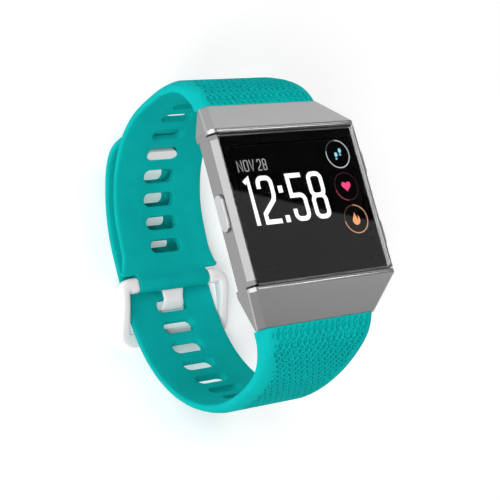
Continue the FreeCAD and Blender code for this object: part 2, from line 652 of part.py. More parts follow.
def tail_peg():
    y, z, _, normal = LOWER.at(PEG)
    inner_y, inner_z = UPPER.at(PEG_SLOT)[:2]
    inward = (y - inner_y) * normal[0] + (z - inner_z) * normal[1]
    node("tail_peg", shaped("tail_peg", on_path(peg_form(inward), LOWER, PEG).removeSplitter()))


def connectors():
    """Hard ends of the straps under the lugs, each with its sprung release button."""
    half = size("connector_width") / 2
    low = TOP - 8.7
    near = size("lug_end") - size("connector_depth")
    middle = near + 1.9
    wide, deep = size("release_width"), size("release_depth")
    play = 0.1
    for end, sign in (("upper", 1), ("lower", -1)):
        def placed(length, width, height, y, z):
            start = y if sign > 0 else -y - width
            return Part.makeBox(length, width, height, FreeCAD.Vector(-length / 2, start, z))

        plate = placed(2 * half, size("connector_depth"), size("connector_thick"), near, low)
        pocket = placed(wide + 2 * play, deep + 2 * play, 9, middle - play - deep / 2, low - 1)
        label = "strap_connector_" + end
        node(label, shaped(label, plate.cut(pocket)))
        key = placed(wide, deep, size("release_thick"), middle - deep / 2, low - 0.3)
        label = "release_button_" + end
        node(label, shaped(label, key))
        spring_low = low - 0.3 + size("release_thick")
        spring_high = TOP - size("lug_base_drop") - 1.9
        rise = spring_high - spring_low
        arch = [(middle - 0.8, spring_low), (middle, spring_low + rise, "arc"), (middle + 0.8, spring_low),
                (middle + 0.65, spring_low), (middle, spring_low + rise - 0.14, "arc"),
                (middle - 0.65, spring_low)]
        leaf = side_prism([(sign * p[0], *p[1:]) for p in arch], 3.0)
        label = "release_spring_" + end
        node(label, shaped(label, leaf))


# ---------------------------------------------------------------- buckle
def buckle():
    y0, z0 = PIN
    boss = size("boss_radius")
    half, arm = size("buckle_half"), size("buckle_arm")
    outline = [(y0 - 0.55, z0 + boss), (y0 - 5.0, z0 + 0.45, "arc"), (y0 - 8.7, z0 - 1.8),
               (y0 - 11.0, z0 - 2.6, "arc"), (-14.3, 1.4),
               (-14.65, 0.9), (-14.386, 0.264, "arc"), (-13.75, 0.0),
               (-11.2, 0.0),
               (y0 - 5.4, z0 - 2.9, "arc"), (y0 - 0.4, z0 - boss)]
    side = side_prism(outline, half)
    between = Part.makeBox(2 * (half - arm), 40, 20, FreeCAD.Vector(-half + arm, -30, -5))
    arms = side.cut(between)
    bosses = []
    for sign in (-1, 1):
        start = size("boss_inner") if sign > 0 else -half
        bosses.append(Part.makeCylinder(boss, half - size("boss_inner"), FreeCAD.Vector(start, y0, z0),
                                        FreeCAD.Vector(1, 0, 0)))
    bar_outline = [(-14.3, 1.3), (-14.65, 0.9), (-14.386, 0.264, "arc"), (-13.75, 0.0),
                   (-11.2, 0.0), (-10.9, 0.28, "arc"), (-11.2, 0.56)]
    bar = side_prism(bar_outline, half - 0.5)
    bores = []
    for sign in (-1, 1):
        depth = size("tip_end") + 0.2 - size("boss_inner") + 0.5
        start = size("boss_inner") - 0.5 if sign > 0 else -size("tip_end") - 0.2
        bores.append(Part.makeCylinder(size("tip_radius") + size("pin_play"), depth,
                                       FreeCAD.Vector(start, y0, z0), FreeCAD.Vector(1, 0, 0)))
    whole = arms.fuse(bosses + [bar]).cut(bores).removeSplitter()
    node("buckle_frame", shaped("buckle_frame", whole))


def tongue():
    y0, z0 = PIN
    half = size("tongue_wide") / 2
    ring = Part.makeCylinder(size("tongue_ring"), 2 * half, FreeCAD.Vector(-half, y0, z0),
                             FreeCAD.Vector(1, 0, 0))
    arm = side_prism([(y0 - 1.1, z0 - 0.1), (y0 - 3.6, z0 - 0.7, "arc"), (y0 - 5.4, z0 - 2.2),
                      (y0 - 6.0, z0 - 3.6), (y0 - 4.9, z0 - 3.8),
                      (y0 - 4.2, z0 - 2.0, "arc"), (y0 - 0.5, z0 - 1.1)], half)
    bore = Part.makeCylinder(size("barrel_radius") + size("pin_play"), 40, FreeCAD.Vector(-20, y0, z0),
                             FreeCAD.Vector(1, 0, 0))
    node("buckle_tongue", shaped("buckle_tongue", ring.fuse(arm).cut(bore).removeSplitter()))


def spring_bar():
    """The sprung bar: a barrel in the strap's roll, two tips that slide in it, and their spring."""
    y0, z0 = "$pin_y", "$pin_height"
    barrel = cylinder("barrel_tube", "$barrel_radius", "2 * $barrel_half", "-$barrel_half", y0, z0, "x")
    bore = cylinder("barrel_bore", "$tip_radius + $pin_play", "4 * $barrel_half", "-2 * $barrel_half",
                    y0, z0, "x")
    node("pin_barrel", cut("pin_barrel", barrel, bore))
    for name, start, collar_at in (("pin_tip_left", "-$tip_end", "-$collar_middle"),
                                   ("pin_tip_right", "$tip_end - $tip_length", "$collar_middle")):
        shaft = cylinder(name + "_shaft", "$tip_radius", "$tip_length", start, y0, z0, "x")
        collar = cylinder(name + "_collar", "$collar_radius", "$collar_wide",
                          "%s - $collar_wide / 2" % collar_at, y0, z0, "x")
        node(name, fuse(name, shaft, collar))
    reach = size("tip_end") - size("tip_length") - 0.05
    helix = Part.makeHelix(2 * reach / size("coil_turns"), 2 * reach, size("coil_radius"))
    helix.rotate(FreeCAD.Vector(0, 0, 0), FreeCAD.Vector(0, 1, 0), 90)
    helix.translate(FreeCAD.Vector(-reach, *PIN))
    start = helix.Vertexes[0].Point
    rolled = FreeCAD.Rotation(FreeCAD.Vector(0, 0, 1), FreeCAD.Vector(0.3, 1, 0))
    sides = 8
    corners = []
    for side in range(sides):
        angle = 2 * math.pi * side / sides
        corners.append(FreeCAD.Vector(math.cos(angle), math.sin(angle), 0) * size("coil_wire"))
    wire_form = Part.makePolygon([start + rolled.multVec(corner) for corner in corners + corners[:1]])
    coil = Part.Wire(helix).makePipeShell([wire_form], True, True)
    node("pin_spring", shaped("pin_spring", coil))


# ---------------------------------------------------------------- build and write
case_frame()
antenna_strips()
end_covers()
display_stack()
electronics()
back()
buttons()
strap_upper()
strap_lower()
tail_peg()
connectors()
buckle()
tongue()
spring_bar()
doc.recompute()

failed = [obj.Name for obj in doc.Objects if "Invalid" in obj.State or "Error" in obj.State]
for part in NODES:
    if part.Shape.isNull() or not part.Shape.isValid() or not part.Shape.Solids:
        failed.append(part.Label)
if failed:
    raise RuntimeError("objects that failed: %s" % ", ".join(failed))
for part in NODES:
    part.Shape.exportStep("parts/%s.step" % part.Label)
    bounds = part.Shape.optimalBoundingBox(False)
    print("%-24s %2d solid(s)  x %7.2f %7.2f  y %7.2f %7.2f  z %7.2f %7.2f  vol %9.2f" % (
        part.Label, len(part.Shape.Solids), bounds.XMin, bounds.XMax, bounds.YMin, bounds.YMax,
        bounds.ZMin, bounds.ZMax, part.Shape.Volume))
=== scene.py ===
import math

import bmesh
import bpy
import numpy as np
from mathutils import Matrix, Vector
from mathutils.geometry import delaunay_2d_cdt


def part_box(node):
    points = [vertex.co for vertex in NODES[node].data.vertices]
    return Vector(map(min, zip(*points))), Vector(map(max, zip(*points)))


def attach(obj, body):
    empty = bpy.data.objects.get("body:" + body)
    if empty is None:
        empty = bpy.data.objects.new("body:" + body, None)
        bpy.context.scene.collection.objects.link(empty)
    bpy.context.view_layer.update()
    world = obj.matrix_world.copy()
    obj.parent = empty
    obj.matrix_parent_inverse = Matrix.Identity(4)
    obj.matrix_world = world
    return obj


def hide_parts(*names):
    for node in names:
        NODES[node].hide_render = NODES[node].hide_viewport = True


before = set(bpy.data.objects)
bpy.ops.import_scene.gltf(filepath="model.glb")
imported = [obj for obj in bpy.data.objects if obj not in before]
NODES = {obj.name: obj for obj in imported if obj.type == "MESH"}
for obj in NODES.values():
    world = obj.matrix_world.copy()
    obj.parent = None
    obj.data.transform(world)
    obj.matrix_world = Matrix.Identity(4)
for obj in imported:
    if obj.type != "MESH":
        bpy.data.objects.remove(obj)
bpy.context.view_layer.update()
MM = 0.001

# ---------------------------------------------------------------- places read from the frame
GLASS_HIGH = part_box("cover_glass")[1]
GLASS_TOP = GLASS_HIGH.z / MM
CASE_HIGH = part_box("case_frame")[1]
LUG_END = CASE_HIGH.y / MM
BARREL_LOW, BARREL_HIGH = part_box("pin_barrel")
PIN = ((BARREL_LOW.y + BARREL_HIGH.y) / 2 / MM, (BARREL_LOW.z + BARREL_HIGH.z) / 2 / MM)
STRAP_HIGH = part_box("strap_upper")[1]
LUG_HALF = STRAP_HIGH.x / MM
ROOT_TOP = STRAP_HIGH.z / MM

# ---------------------------------------------------------------- strap sizes, in millimetres
STRAP_HALF = 11.6
STRAP_END_HALF = 13.0
FLARE_START, FLARE_END = 6.5, 1.15
NARROW_HEIGHT, WIDE_HEIGHT = 29.0, GLASS_TOP - 8.0
THICKNESS = ((0.0, 3.4), (10.0, 2.5), (24.0, 2.2), (38.0, 2.0))
CROWN_DROP, CROWN_NARROW, CROWN_WIDE, CROWN_GROWTH = 0.40, 1.3, 2.5, 9.0
SKIN_MARGIN = 0.005
LOWER_EASE, UPPER_EASE = 4.0, 1.25
SLOT_WIDE, SLOT_TALL, SLOT_PITCH, TAIL_PITCH = 8.1, 2.95, 5.3, 5.08
EDGE_ROUND, SLOT_ROUND, ROOT_ROUND = 0.55, 0.3, 0.12
TIP_CORNER = 6.0
ROLL_RADIUS, ROLL_HALF, ROLL_CUTOUT, RING_SPACE = 1.8, 9.35, 3.0, 1.35
PEG_WIDE, PEG_TALL = 7.9, 2.75
PEG_PLACE = 7
SEARCH_STEPS = 4000


# ---------------------------------------------------------------- mesh helpers
def make_object(name, vertices, faces, material, sharp=35.0):
    """A smooth object from points in metres; edges that turn more than an angle in degrees stay crisp."""
    mesh = bpy.data.meshes.new(name)
    mesh.from_pydata([tuple(v) for v in vertices], [], faces)
    mesh.validate()
    work = bmesh.new()
    work.from_mesh(mesh)
    bmesh.ops.remove_doubles(work, verts=work.verts, dist=1e-7)
    bmesh.ops.recalc_face_normals(work, faces=work.faces)
    work.to_mesh(mesh)
    work.free()
    mesh.shade_smooth()
    mesh.set_sharp_from_angle(angle=math.radians(sharp))
    obj = bpy.data.objects.new(name, mesh)
    bpy.context.scene.collection.objects.link(obj)
    obj.data.materials.append(material)
    return obj


def inside(points, loop):
    """Even-odd test of many points against one closed loop."""
    points, loop = np.asarray(points), np.asarray(loop)
    result = np.zeros(len(points), bool)
    x, y = points[:, 0], points[:, 1]
    for (x0, y0), (x1, y1) in zip(loop, np.roll(loop, -1, axis=0)):
        if y0 == y1:
            continue
        crosses = (y0 > y) != (y1 > y)
        result ^= crosses & (x < x0 + (y - y0) * (x1 - x0) / (y1 - y0))
    return result


def pill_loop(wide, tall, centre, grow, steps=7):
    """An obround as (points, normals away from its centre), grown by a distance."""
    radius = tall / 2
    reach = wide / 2 - radius
    points, normals = [], []
    for side, start in ((1, -90.0), (-1, 90.0)):
        for step in range(steps + 1):
            angle = math.radians(start + 180.0 * step / steps)
            n = (math.cos(angle), math.sin(angle))
            points.append((side * reach + (radius + grow) * n[0] + centre[0],
                           (radius + grow) * n[1] + centre[1]))
            normals.append(n)
    straight_points, straight_normals = [], []
    for index, (p, n) in enumerate(zip(points, normals)):
        straight_points.append(p)
        straight_normals.append(n)
        if index in (steps, 2 * steps + 1):
            q = points[(index + 1) % len(points)]
            for share in (0.25, 0.5, 0.75):
                straight_points.append((p[0] + (q[0] - p[0]) * share, p[1] + (q[1] - p[1]) * share))
                straight_normals.append(n)
    return straight_points, straight_normals


def tube_faces(rings, around):
    """Faces of a closed tube made of rings of points, with a flat cap at both ends."""
    faces = []
    for ring in range(rings - 1):
        for k in range(around):
            a, b = ring * around + k, ring * around + (k + 1) % around
            faces.append((a, b, b + around, a + around))
    last = rings * around - 1
    return faces + [tuple(range(around)), tuple(range(last, last - around, -1))]


def stroke_loop(line, width):
    """The outline of a bent stroke with blunt round ends."""
    half = width / 2
    line = [Vector(p) for p in line]
    count = len(line)
    left, right = [], []
    for index, point in enumerate(line):
        before = (point - line[index - 1]).normalized() if index else None
        after = (line[index + 1] - point).normalized() if index < count - 1 else None
        along = ((before or after) + (after or before)).normalized()
        normal = Vector((-along.y, along.x))
        reach = half / max(0.5, abs(normal.dot(Vector((-(after or before).y, (after or before).x)))))
        left.append(point + normal * reach)
        right.append(point - normal * reach)
    start = line[0] - (line[1] - line[0]).normalized() * half * 0.8
    end = line[-1] + (line[-1] - line[-2]).normalized() * half * 0.8
    return [tuple(p) for p in [start] + left + [end] + right[::-1]]


# ---------------------------------------------------------------- strap paths
class Path:
    """The inner line of a strap: tangent arcs in the (y, z) plane, walked by length."""

    def __init__(self, start, heading, steps, side):
        self.side, self.legs, self.length = side, [], 0.0
        y, z, angle = start[0], start[1], math.radians(heading)
        for radius, amount in steps:
            span = amount if radius is None else radius * math.radians(amount)
            self.legs.append((self.length, span, radius, y, z, angle))
            y, z, angle = self.advance(radius, y, z, angle, span)
            self.length += span

    @staticmethod
    def advance(radius, y, z, angle, distance):
        """Where a leg leads after a distance: (y, z, angle). A leg without a radius is straight."""
        if radius is None:
            return y + distance * math.cos(angle), z + distance * math.sin(angle), angle
        turned = angle - distance / radius
        y += radius * (math.sin(angle) - math.sin(turned))
        z -= radius * (math.cos(angle) - math.cos(turned))
        return y, z, turned

    def at(self, distance):
        """(y, z, outward normal) at a distance along the path."""
        leg = next((leg for leg in self.legs if distance <= leg[0] + leg[1] + 1e-9), self.legs[-1])
        start, _, radius, y, z, angle = leg
        y, z, turned = self.advance(radius, y, z, angle, distance - start)
        return self.side * y, z, (self.side * -math.sin(turned), math.cos(turned))

    def nearest(self, y, z):
        """The distance along the path at which it passes closest to a point."""
        steps = [self.length * step / SEARCH_STEPS for step in range(SEARCH_STEPS + 1)]
        return min(steps, key=lambda s: math.hypot(self.at(s)[0] - y, self.at(s)[1] - z))


def thickness(distance):
    """Thickness of a strap at a distance along it, eased between the knots of THICKNESS."""
    for (start, first), (end, second) in zip(THICKNESS, THICKNESS[1:]):
        if distance < end:
            share = max(0.0, (distance - start) / (end - start))
            return first + (second - first) * share * share * (3 - 2 * share)
    return THICKNESS[-1][1]


LUG_EXIT = (LUG_END + 0.1, GLASS_TOP - 8.7)
LOWER_SIDE = [(15.0, 43.0), (37.0, 13.0), (26.6, 83.8)]
BASE = [(43.65, 14.2), (None, 8.5)]
TAIL = [(33.33, 32.6), (11.5, 25.5), (None, 5.4)]
UPPER_SIDE = [(15.0, 48.9), (36.2, 25.0), (19.9, 30.1), (23.5, 45.3), (None, 11.2)]
LOWER = Path(LUG_EXIT, -26.0, LOWER_SIDE + BASE + TAIL, side=-1)
UPPER = Path(LUG_EXIT, -26.0, UPPER_SIDE, side=1)

TONGUE_SLOT = LOWER.nearest(-6.1, 0.0)
PEG_AT = TONGUE_SLOT + PEG_PLACE * SLOT_PITCH
PEG_SLOT = UPPER.nearest(*LOWER.at(PEG_AT)[:2])
LOWER_SLOTS = [TONGUE_SLOT + number * SLOT_PITCH for number in range(-6, 1)]
LOWER_SLOTS += [TONGUE_SLOT + number * TAIL_PITCH for number in range(1, 7)]
UPPER_SLOTS = [PEG_SLOT + number * SLOT_PITCH for number in range(-3, 5)]
UPPER_END = UPPER.nearest(FLARE_END, 6.0)
ROOT_BLEND = 3.0


def place(path, x, distance, height):
    """A point of a strap in metres: across, along, and up from its inner surface."""
    y, z, normal = path.at(max(distance, 0.0))
    share = height / thickness(distance)
    y += normal[0] * height
    z += normal[1] * height
    if distance < ROOT_BLEND:
        base_y, base_z, base_normal = path.at(0.0)
        pull = (1 - max(distance, 0.0) / ROOT_BLEND) ** 2
        outer_y = base_y + base_normal[0] * thickness(0.0)
        outer_z = base_z + base_normal[1] * thickness(0.0)
        target_y = path.side * (LUG_END + 0.05)
        y += (target_y - (base_y + (outer_y - base_y) * share)) * pull
        z += (ROOT_TOP - outer_z) * pull * share
    return Vector((x, y, z)) * MM


def half_width(path, distance):
    """Half of the strap's width: wide beside the case, narrow below, and flared at the rolled end."""
    y, z, _ = path.at(distance)
    share = min(1.0, max(0.0, (z - NARROW_HEIGHT) / (WIDE_HEIGHT - NARROW_HEIGHT)))
    half = STRAP_HALF + (LUG_HALF - STRAP_HALF) * share ** (LOWER_EASE if path is LOWER else UPPER_EASE)
    if path is UPPER and y < FLARE_START and z < NARROW_HEIGHT:
        flare = (FLARE_START - y) / (FLARE_START - FLARE_END)
        half = STRAP_HALF + (STRAP_END_HALF - STRAP_HALF) * min(1.0, flare) ** 1.5
    return half


def crown_width(s):
    """How far in from the edge the outer face slopes down; less beside the case."""
    return CROWN_NARROW + (CROWN_WIDE - CROWN_NARROW) * min(1.0, max(0.0, s) / CROWN_GROWTH)


def outer_height(path, x, s):
    """Height of the outer face: full in the middle, sloping down over the shoulders at the edges."""
    full = thickness(s) - SKIN_MARGIN
    edge = half_width(path, min(max(s, 0.0), path.length)) - abs(x)
    if path is LOWER and s > path.length - TIP_CORNER:
        over = s - (path.length - TIP_CORNER)
        beside = max(0.0, abs(x) - (STRAP_HALF - TIP_CORNER))
        edge = min(edge, TIP_CORNER - math.hypot(over, beside))
    share = min(1.0, max(0.0, 1.0 - edge / crown_width(s)))
    return full * (1.0 - CROWN_DROP * share * (0.35 + 0.65 * share))


SIDE_STEPS, ROOT_STEPS = 120, 24


def strap_outline(path, end, tip_corner):
    """The strap's true outline in (across, along), with normals and the edge rounding at each point."""
    stations = [end * step / SIDE_STEPS for step in range(SIDE_STEPS + 1)]
    right = [s for s in stations if s < end - tip_corner - 0.01]
    points, normals, rounds = [], [], []

    def add(x, s, nx, ns, radius):
        points.append((x, s))
        normals.append((nx, ns))
        rounds.append(radius)

    for s in right:
        eased = min(1.0, s / 2.0)
        add(half_width(path, s), s, 1.0, 0.0, ROOT_ROUND + (EDGE_ROUND - ROOT_ROUND) * eased)
    reach = half_width(path, end) - tip_corner
    steps = 9
    for side in (1, -1):
        order = range(steps + 1) if side > 0 else range(steps, -1, -1)
        for step in order:
            angle = math.radians(90.0 * step / steps)
            nx, ns = side * math.cos(angle), math.sin(angle)
            add(side * reach + tip_corner * nx, end - tip_corner + tip_corner * ns, nx, ns, EDGE_ROUND)
    for s in right[::-1]:
        eased = min(1.0, s / 2.0)
        add(-half_width(path, s), s, -1.0, 0.0, ROOT_ROUND + (EDGE_ROUND - ROOT_ROUND) * eased)
    for step in range(1, ROOT_STEPS):
        add(-LUG_HALF + 2 * LUG_HALF * step / ROOT_STEPS, 0.0, 0.0, -1.0, ROOT_ROUND)
    return points, normals, rounds


# ---------------------------------------------------------------- moulded texture near the case
CELL_PITCH, CELL_ROW = 1.52, 1.30
GROOVE_WIDE, GROOVE_FLOOR, GROOVE_DEEP = 0.40, 0.22, 0.42
HOOK = ((0.42, -0.66), (-0.12, -0.72), (-0.66, -0.22), (-0.52, 0.30), (0.14, 0.66))
TICK = ((-0.10, 0.02), (0.48, -0.12))
TEXTURE_START, TEXTURE_END = 0.12, 27.0
HOOK_SIZES = (0.92, 0.80, 0.70)
SIDE_MARGIN = 0.25


def texture_strokes(path):
    """Strokes of the moulded pattern: hooks of hexagon sides, with a tick in each, on staggered rows."""
    s0 = TEXTURE_START - HOOK[1][1]
    row = 0
    while s0 < TEXTURE_END:
        for column in range(-9, 10):
            x0 = (column + (0.5 if row % 2 else 0.0)) * CELL_PITCH
            scale = HOOK_SIZES[(column - row) % 3]
            for mark in (HOOK, TICK):
                line = [(x0 + x * scale, s0 + s * scale) for x, s in mark]
                limit = min(half_width(path, max(0.0, s)) for _, s in line) - crown_width(s0) - SIDE_MARGIN
                if all(abs(x) < limit and s > TEXTURE_START for x, s in line):
                    yield line
        s0 += CELL_ROW
        row += 1


RIM_STEPS = 4
GRID_STEP_ALONG, GRID_STEP_ACROSS, GRID_HALF = 0.9, 1.4, 14.0
HOLE_MARGIN, EDGE_MARGIN, TEXTURE_MARGIN = 0.7, 3.0, 0.8
SHOULDER_INSETS = (0.5, 1.0, 1.5, 2.0, 2.6)


def clear_of_holes(points, loops):
    """True for each point that keeps its distance from every hole."""
    keep = np.ones(len(points), bool)
    for loop in loops:
        offset = np.abs(np.array(points) - np.mean(loop, axis=0))
        keep &= ~(offset < (SLOT_WIDE / 2 + HOLE_MARGIN, SLOT_TALL / 2 + HOLE_MARGIN)).all(axis=1)
    return keep


def shoulder_points(path, outline, outer, hole_loops, textured):
    """Extra points that follow the edge, so that the crowned shoulder stays smooth."""
    points = []
    for inset in SHOULDER_INSETS:
        for (x, s), n, r in zip(*outline):
            if n[1] > -0.5 and s > 0.3:
                points.append((x - n[0] * (r + inset), s - n[1] * (r + inset)))
    keep = inside(points, outer)
    for loop in hole_loops:
        keep &= ~inside(points, [(x * 1.05, s) for x, s in loop])
    kept = []
    for (x, s), use in zip(points, keep):
        near = textured and s < TEXTURE_END + TEXTURE_MARGIN
        if use and (not near or abs(x) > half_width(path, s) - crown_width(s) - 0.1):
            kept.append((x, s))
    return kept


def rim_faces(path, loop, normals, radii, start):
    """A rounded rim from the outer face to the inner one along a loop: its points and its faces."""
    quarter = [math.radians(90.0 * step / RIM_STEPS) for step in range(RIM_STEPS + 1)]
    vertices, faces = [], []
    for top, angles in ((True, quarter), (False, quarter[::-1])):
        for angle in angles:
            for (x, s), n, r in zip(loop, normals, radii):
                x, s = x + n[0] * r * math.sin(angle), s + n[1] * r * math.sin(angle)
                drop = r * (1 - math.cos(angle))
                vertices.append(place(path, x, s, outer_height(path, x, s) - drop if top else drop))
    count = len(loop)
    for ring in range(2 * RIM_STEPS + 1):
        for corner in range(count):
            a = start + ring * count + corner
            b = start + ring * count + (corner + 1) % count
            faces.append((a, b, b + count, a + count))
    return vertices, faces


def slab(name, path, outline, holes, strokes, material):
    """A strap: outer and inner skins triangulated flat, then bent along the path, with rounded rims."""
    flat, levels, edges = [], [], []

    def add_loop(points, level):
        start = len(flat)
        flat.extend(points)
        levels.extend([level] * len(points))
        edges.extend((start + i, start + (i + 1) % len(points)) for i in range(len(points)))

    points, normals, rounds = outline
    outer = [(p[0] - n[0] * r, p[1] - n[1] * r) for p, n, r in zip(points, normals, rounds)]
    rims = [(outer, normals, rounds)]
    for hole_points, hole_normals in holes:
        rims.append((hole_points, [(-n[0], -n[1]) for n in hole_normals], [SLOT_ROUND] * len(hole_points)))
    for loop, _, _ in rims:
        add_loop(loop, 0.0)
    plain = len(flat)
    hole_loops = [loop for loop, _, _ in rims[1:]]
    for line in strokes:
        add_loop(stroke_loop(line, GROOVE_WIDE), 0.0)
        add_loop(stroke_loop(line, GROOVE_FLOOR), -GROOVE_DEEP)

    across = np.arange(-GRID_HALF, GRID_HALF + 0.1, GRID_STEP_ACROSS)
    grid = [(x, s) for s in np.arange(1.0, path.length, GRID_STEP_ALONG) for x in across]
    open_grid = [p for p, use in zip(grid, inside(grid, outer) & clear_of_holes(grid, hole_loops)) if use]
    texture_end = max((s for _, s in flat[plain:]), default=0.0) + 0.3
    spare = [(x, s) for x, s in open_grid
             if s > texture_end and abs(x) < half_width(path, s) - EDGE_MARGIN]
    spare += shoulder_points(path, outline, outer, hole_loops, bool(strokes))

    def skin(count, extra, height):
        """Triangles of one skin over the first count flat points and the spare ones."""
        source = flat[:count] + extra
        level = levels[:count] + [0.0] * len(extra)
        used_edges = [e for e in edges if max(e) < count]
        dots = [Vector(p) for p in source]
        made, _, faces, origin, _, _ = delaunay_2d_cdt(dots, used_edges, [], 0, 1e-5)
        centres = np.array([np.mean([made[i] for i in face], axis=0) for face in faces])
        good = inside(centres, outer)
        for loop in hole_loops:
            good &= ~inside(centres, loop)
        verts = [place(path, p.x, p.y, height(p.x, p.y, level[origin[i][0]] if origin[i] else 0.0))
                 for i, p in enumerate(made)]
        return verts, [tuple(face) for face, use in zip(faces, good) if use]

    vertices, faces = skin(len(flat), spare, lambda x, s, level: outer_height(path, x, s) + level)
    low_vertices, low_faces = skin(plain, open_grid, lambda x, s, level: 0.0)
    faces += [tuple(i + len(vertices) for i in face) for face in low_faces]
    vertices += low_vertices
    for loop, loop_normals, radii in rims:
        rim_vertices, strips = rim_faces(path, loop, loop_normals, radii, len(vertices))
        vertices += rim_vertices
        faces += strips
    return make_object(name, vertices, faces, material)


# ---------------------------------------------------------------- materials
def new_material(name, colour, roughness, metallic=0.0, **sockets):
    """A Principled material; extra sockets are named with _ for spaces."""
    material = bpy.data.materials.new(name)
    material.use_nodes = True
    shader = material.node_tree.nodes["Principled BSDF"]
    shader.inputs["Base Color"].default_value = (*colour, 1.0)
    shader.inputs["Roughness"].default_value = roughness
    shader.inputs["Metallic"].default_value = metallic
    for socket, value in sockets.items():
        shader.inputs[socket.replace("_", " ")].default_value = value
    return material


def add_grain(material, scale, bump, spread=0.0, rough_spread=0.0, stretch=(1, 1, 1), detail=3.0):
    """Fine relief, with small colour and roughness variation, from noise in object space."""
    tree = material.node_tree
    shader = tree.nodes["Principled BSDF"]
    coords = tree.nodes.new("ShaderNodeTexCoord")
    mapping = tree.nodes.new("ShaderNodeMapping")
    mapping.inputs["Scale"].default_value = stretch
    noise = tree.nodes.new("ShaderNodeTexNoise")
    noise.inputs["Scale"].default_value = scale
    noise.inputs["Detail"].default_value = detail
    tree.links.new(coords.outputs["Object"], mapping.inputs["Vector"])
    tree.links.new(mapping.outputs["Vector"], noise.inputs["Vector"])
    if bump:
        relief = tree.nodes.new("ShaderNodeBump")
        relief.inputs["Strength"].default_value = 0.6
        relief.inputs["Distance"].default_value = bump
        tree.links.new(noise.outputs["Fac"], relief.inputs["Height"])
        tree.links.new(relief.outputs["Normal"], shader.inputs["Normal"])
    broad = tree.nodes.new("ShaderNodeTexNoise")
    broad.inputs["Scale"].default_value = scale / 18.0
    tree.links.new(coords.outputs["Object"], broad.inputs["Vector"])
    if spread:
        base = shader.inputs["Base Color"].default_value[:3]
        ramp = tree.nodes.new("ShaderNodeValToRGB")
        ramp.color_ramp.elements[0].position = 0.3
        ramp.color_ramp.elements[1].position = 0.7
        ramp.color_ramp.elements[0].color = (*[c * (1 - spread) for c in base], 1.0)
        ramp.color_ramp.elements[1].color = (*[min(1.0, c * (1 + spread)) for c in base], 1.0)
        tree.links.new(broad.outputs["Fac"], ramp.inputs["Fac"])
        tree.links.new(ramp.outputs["Color"], shader.inputs["Base Color"])
    if rough_spread:
        rough = shader.inputs["Roughness"].default_value
        spread_node = tree.nodes.new("ShaderNodeMapRange")
        spread_node.inputs["From Min"].default_value = 0.3
        spread_node.inputs["From Max"].default_value = 0.7
        spread_node.inputs["To Min"].default_value = max(0.02, rough - rough_spread)
        spread_node.inputs["To Max"].default_value = min(1.0, rough + rough_spread)
        tree.links.new(broad.outputs["Fac"], spread_node.inputs["Value"])
        tree.links.new(spread_node.outputs["Result"], shader.inputs["Roughness"])
    return material


SILICONE = add_grain(new_material("teal_silicone", (0.004, 0.43, 0.415), 0.72,
                                  Specular_IOR_Level=0.02, IOR=1.25),
                     4000.0, 0.000012, spread=0.04, rough_spread=0.05)
WHITE = add_grain(new_material("white_satin", (0.95, 0.885, 0.895), 0.36),
                  3000.0, 0.00001, spread=0.02, rough_spread=0.06)
CASE_METAL = add_grain(new_material("blasted_aluminium", (0.275, 0.272, 0.274), 0.42, 1.0),
                       9000.0, 0.000006, spread=0.01, rough_spread=0.012)
COVER_METAL = add_grain(new_material("blasted_cover", (0.40, 0.397, 0.40), 0.42, 1.0),
                        9000.0, 0.000006, spread=0.01, rough_spread=0.012)
LIP_METAL = add_grain(new_material("polished_lip", (0.90, 0.90, 0.905), 0.24, 1.0),
                      9000.0, 0.000002, spread=0.01, rough_spread=0.02)
ANTENNA = add_grain(new_material("antenna_plastic", (0.20, 0.205, 0.21), 0.5), 5000.0, 0.00001,
                    spread=0.04)
GLASS = new_material("cover_glass", (1.0, 1.0, 1.0), 0.0, Transmission_Weight=1.0, IOR=1.5)
DISPLAY = add_grain(new_material("display_black", (0.0012, 0.0012, 0.0014), 0.6, Specular_IOR_Level=0.06),
                    900.0, 0.0, spread=0.3)
GASKET = add_grain(new_material("gasket_black", (0.0025, 0.0025, 0.0025), 0.7, Specular_IOR_Level=0.06),
                   3000.0, 0.000004, spread=0.2)
BUTTON_METAL = add_grain(new_material("button_aluminium", (0.52, 0.525, 0.53), 0.4, 1.0),
                         6000.0, 0.00003, spread=0.04, rough_spread=0.05)
BACK = add_grain(new_material("back_plastic", (0.012, 0.012, 0.014), 0.5), 4000.0, 0.00002,
                 spread=0.1, rough_spread=0.08)
SENSOR_GLASS = new_material("sensor_glass", (0.02, 0.02, 0.025), 0.05, Coat_Weight=0.6)
STEEL = add_grain(new_material("turned_steel", (0.55, 0.55, 0.56), 0.3, 1.0), 3000.0, 0.00001,
                  rough_spread=0.08, stretch=(0.1, 1, 1))
GOLD = add_grain(new_material("contact_gold", (0.75, 0.52, 0.2), 0.28, 1.0), 4000.0, 0.00001,
                 rough_spread=0.06)
BOARD = add_grain(new_material("board_green", (0.005, 0.06, 0.03), 0.45), 2000.0, 0.00002, spread=0.2)
CHIP = add_grain(new_material("chip_black", (0.012, 0.012, 0.013), 0.55), 3000.0, 0.00002, spread=0.1)
FOIL = add_grain(new_material("battery_foil", (0.5, 0.5, 0.52), 0.35, 1.0), 900.0, 0.00008,
                 rough_spread=0.1)
LED = new_material("led_lens", (0.1, 0.55, 0.2), 0.15)
RUBBER = add_grain(new_material("seal_rubber", (0.01, 0.01, 0.01), 0.6), 3000.0, 0.00002)

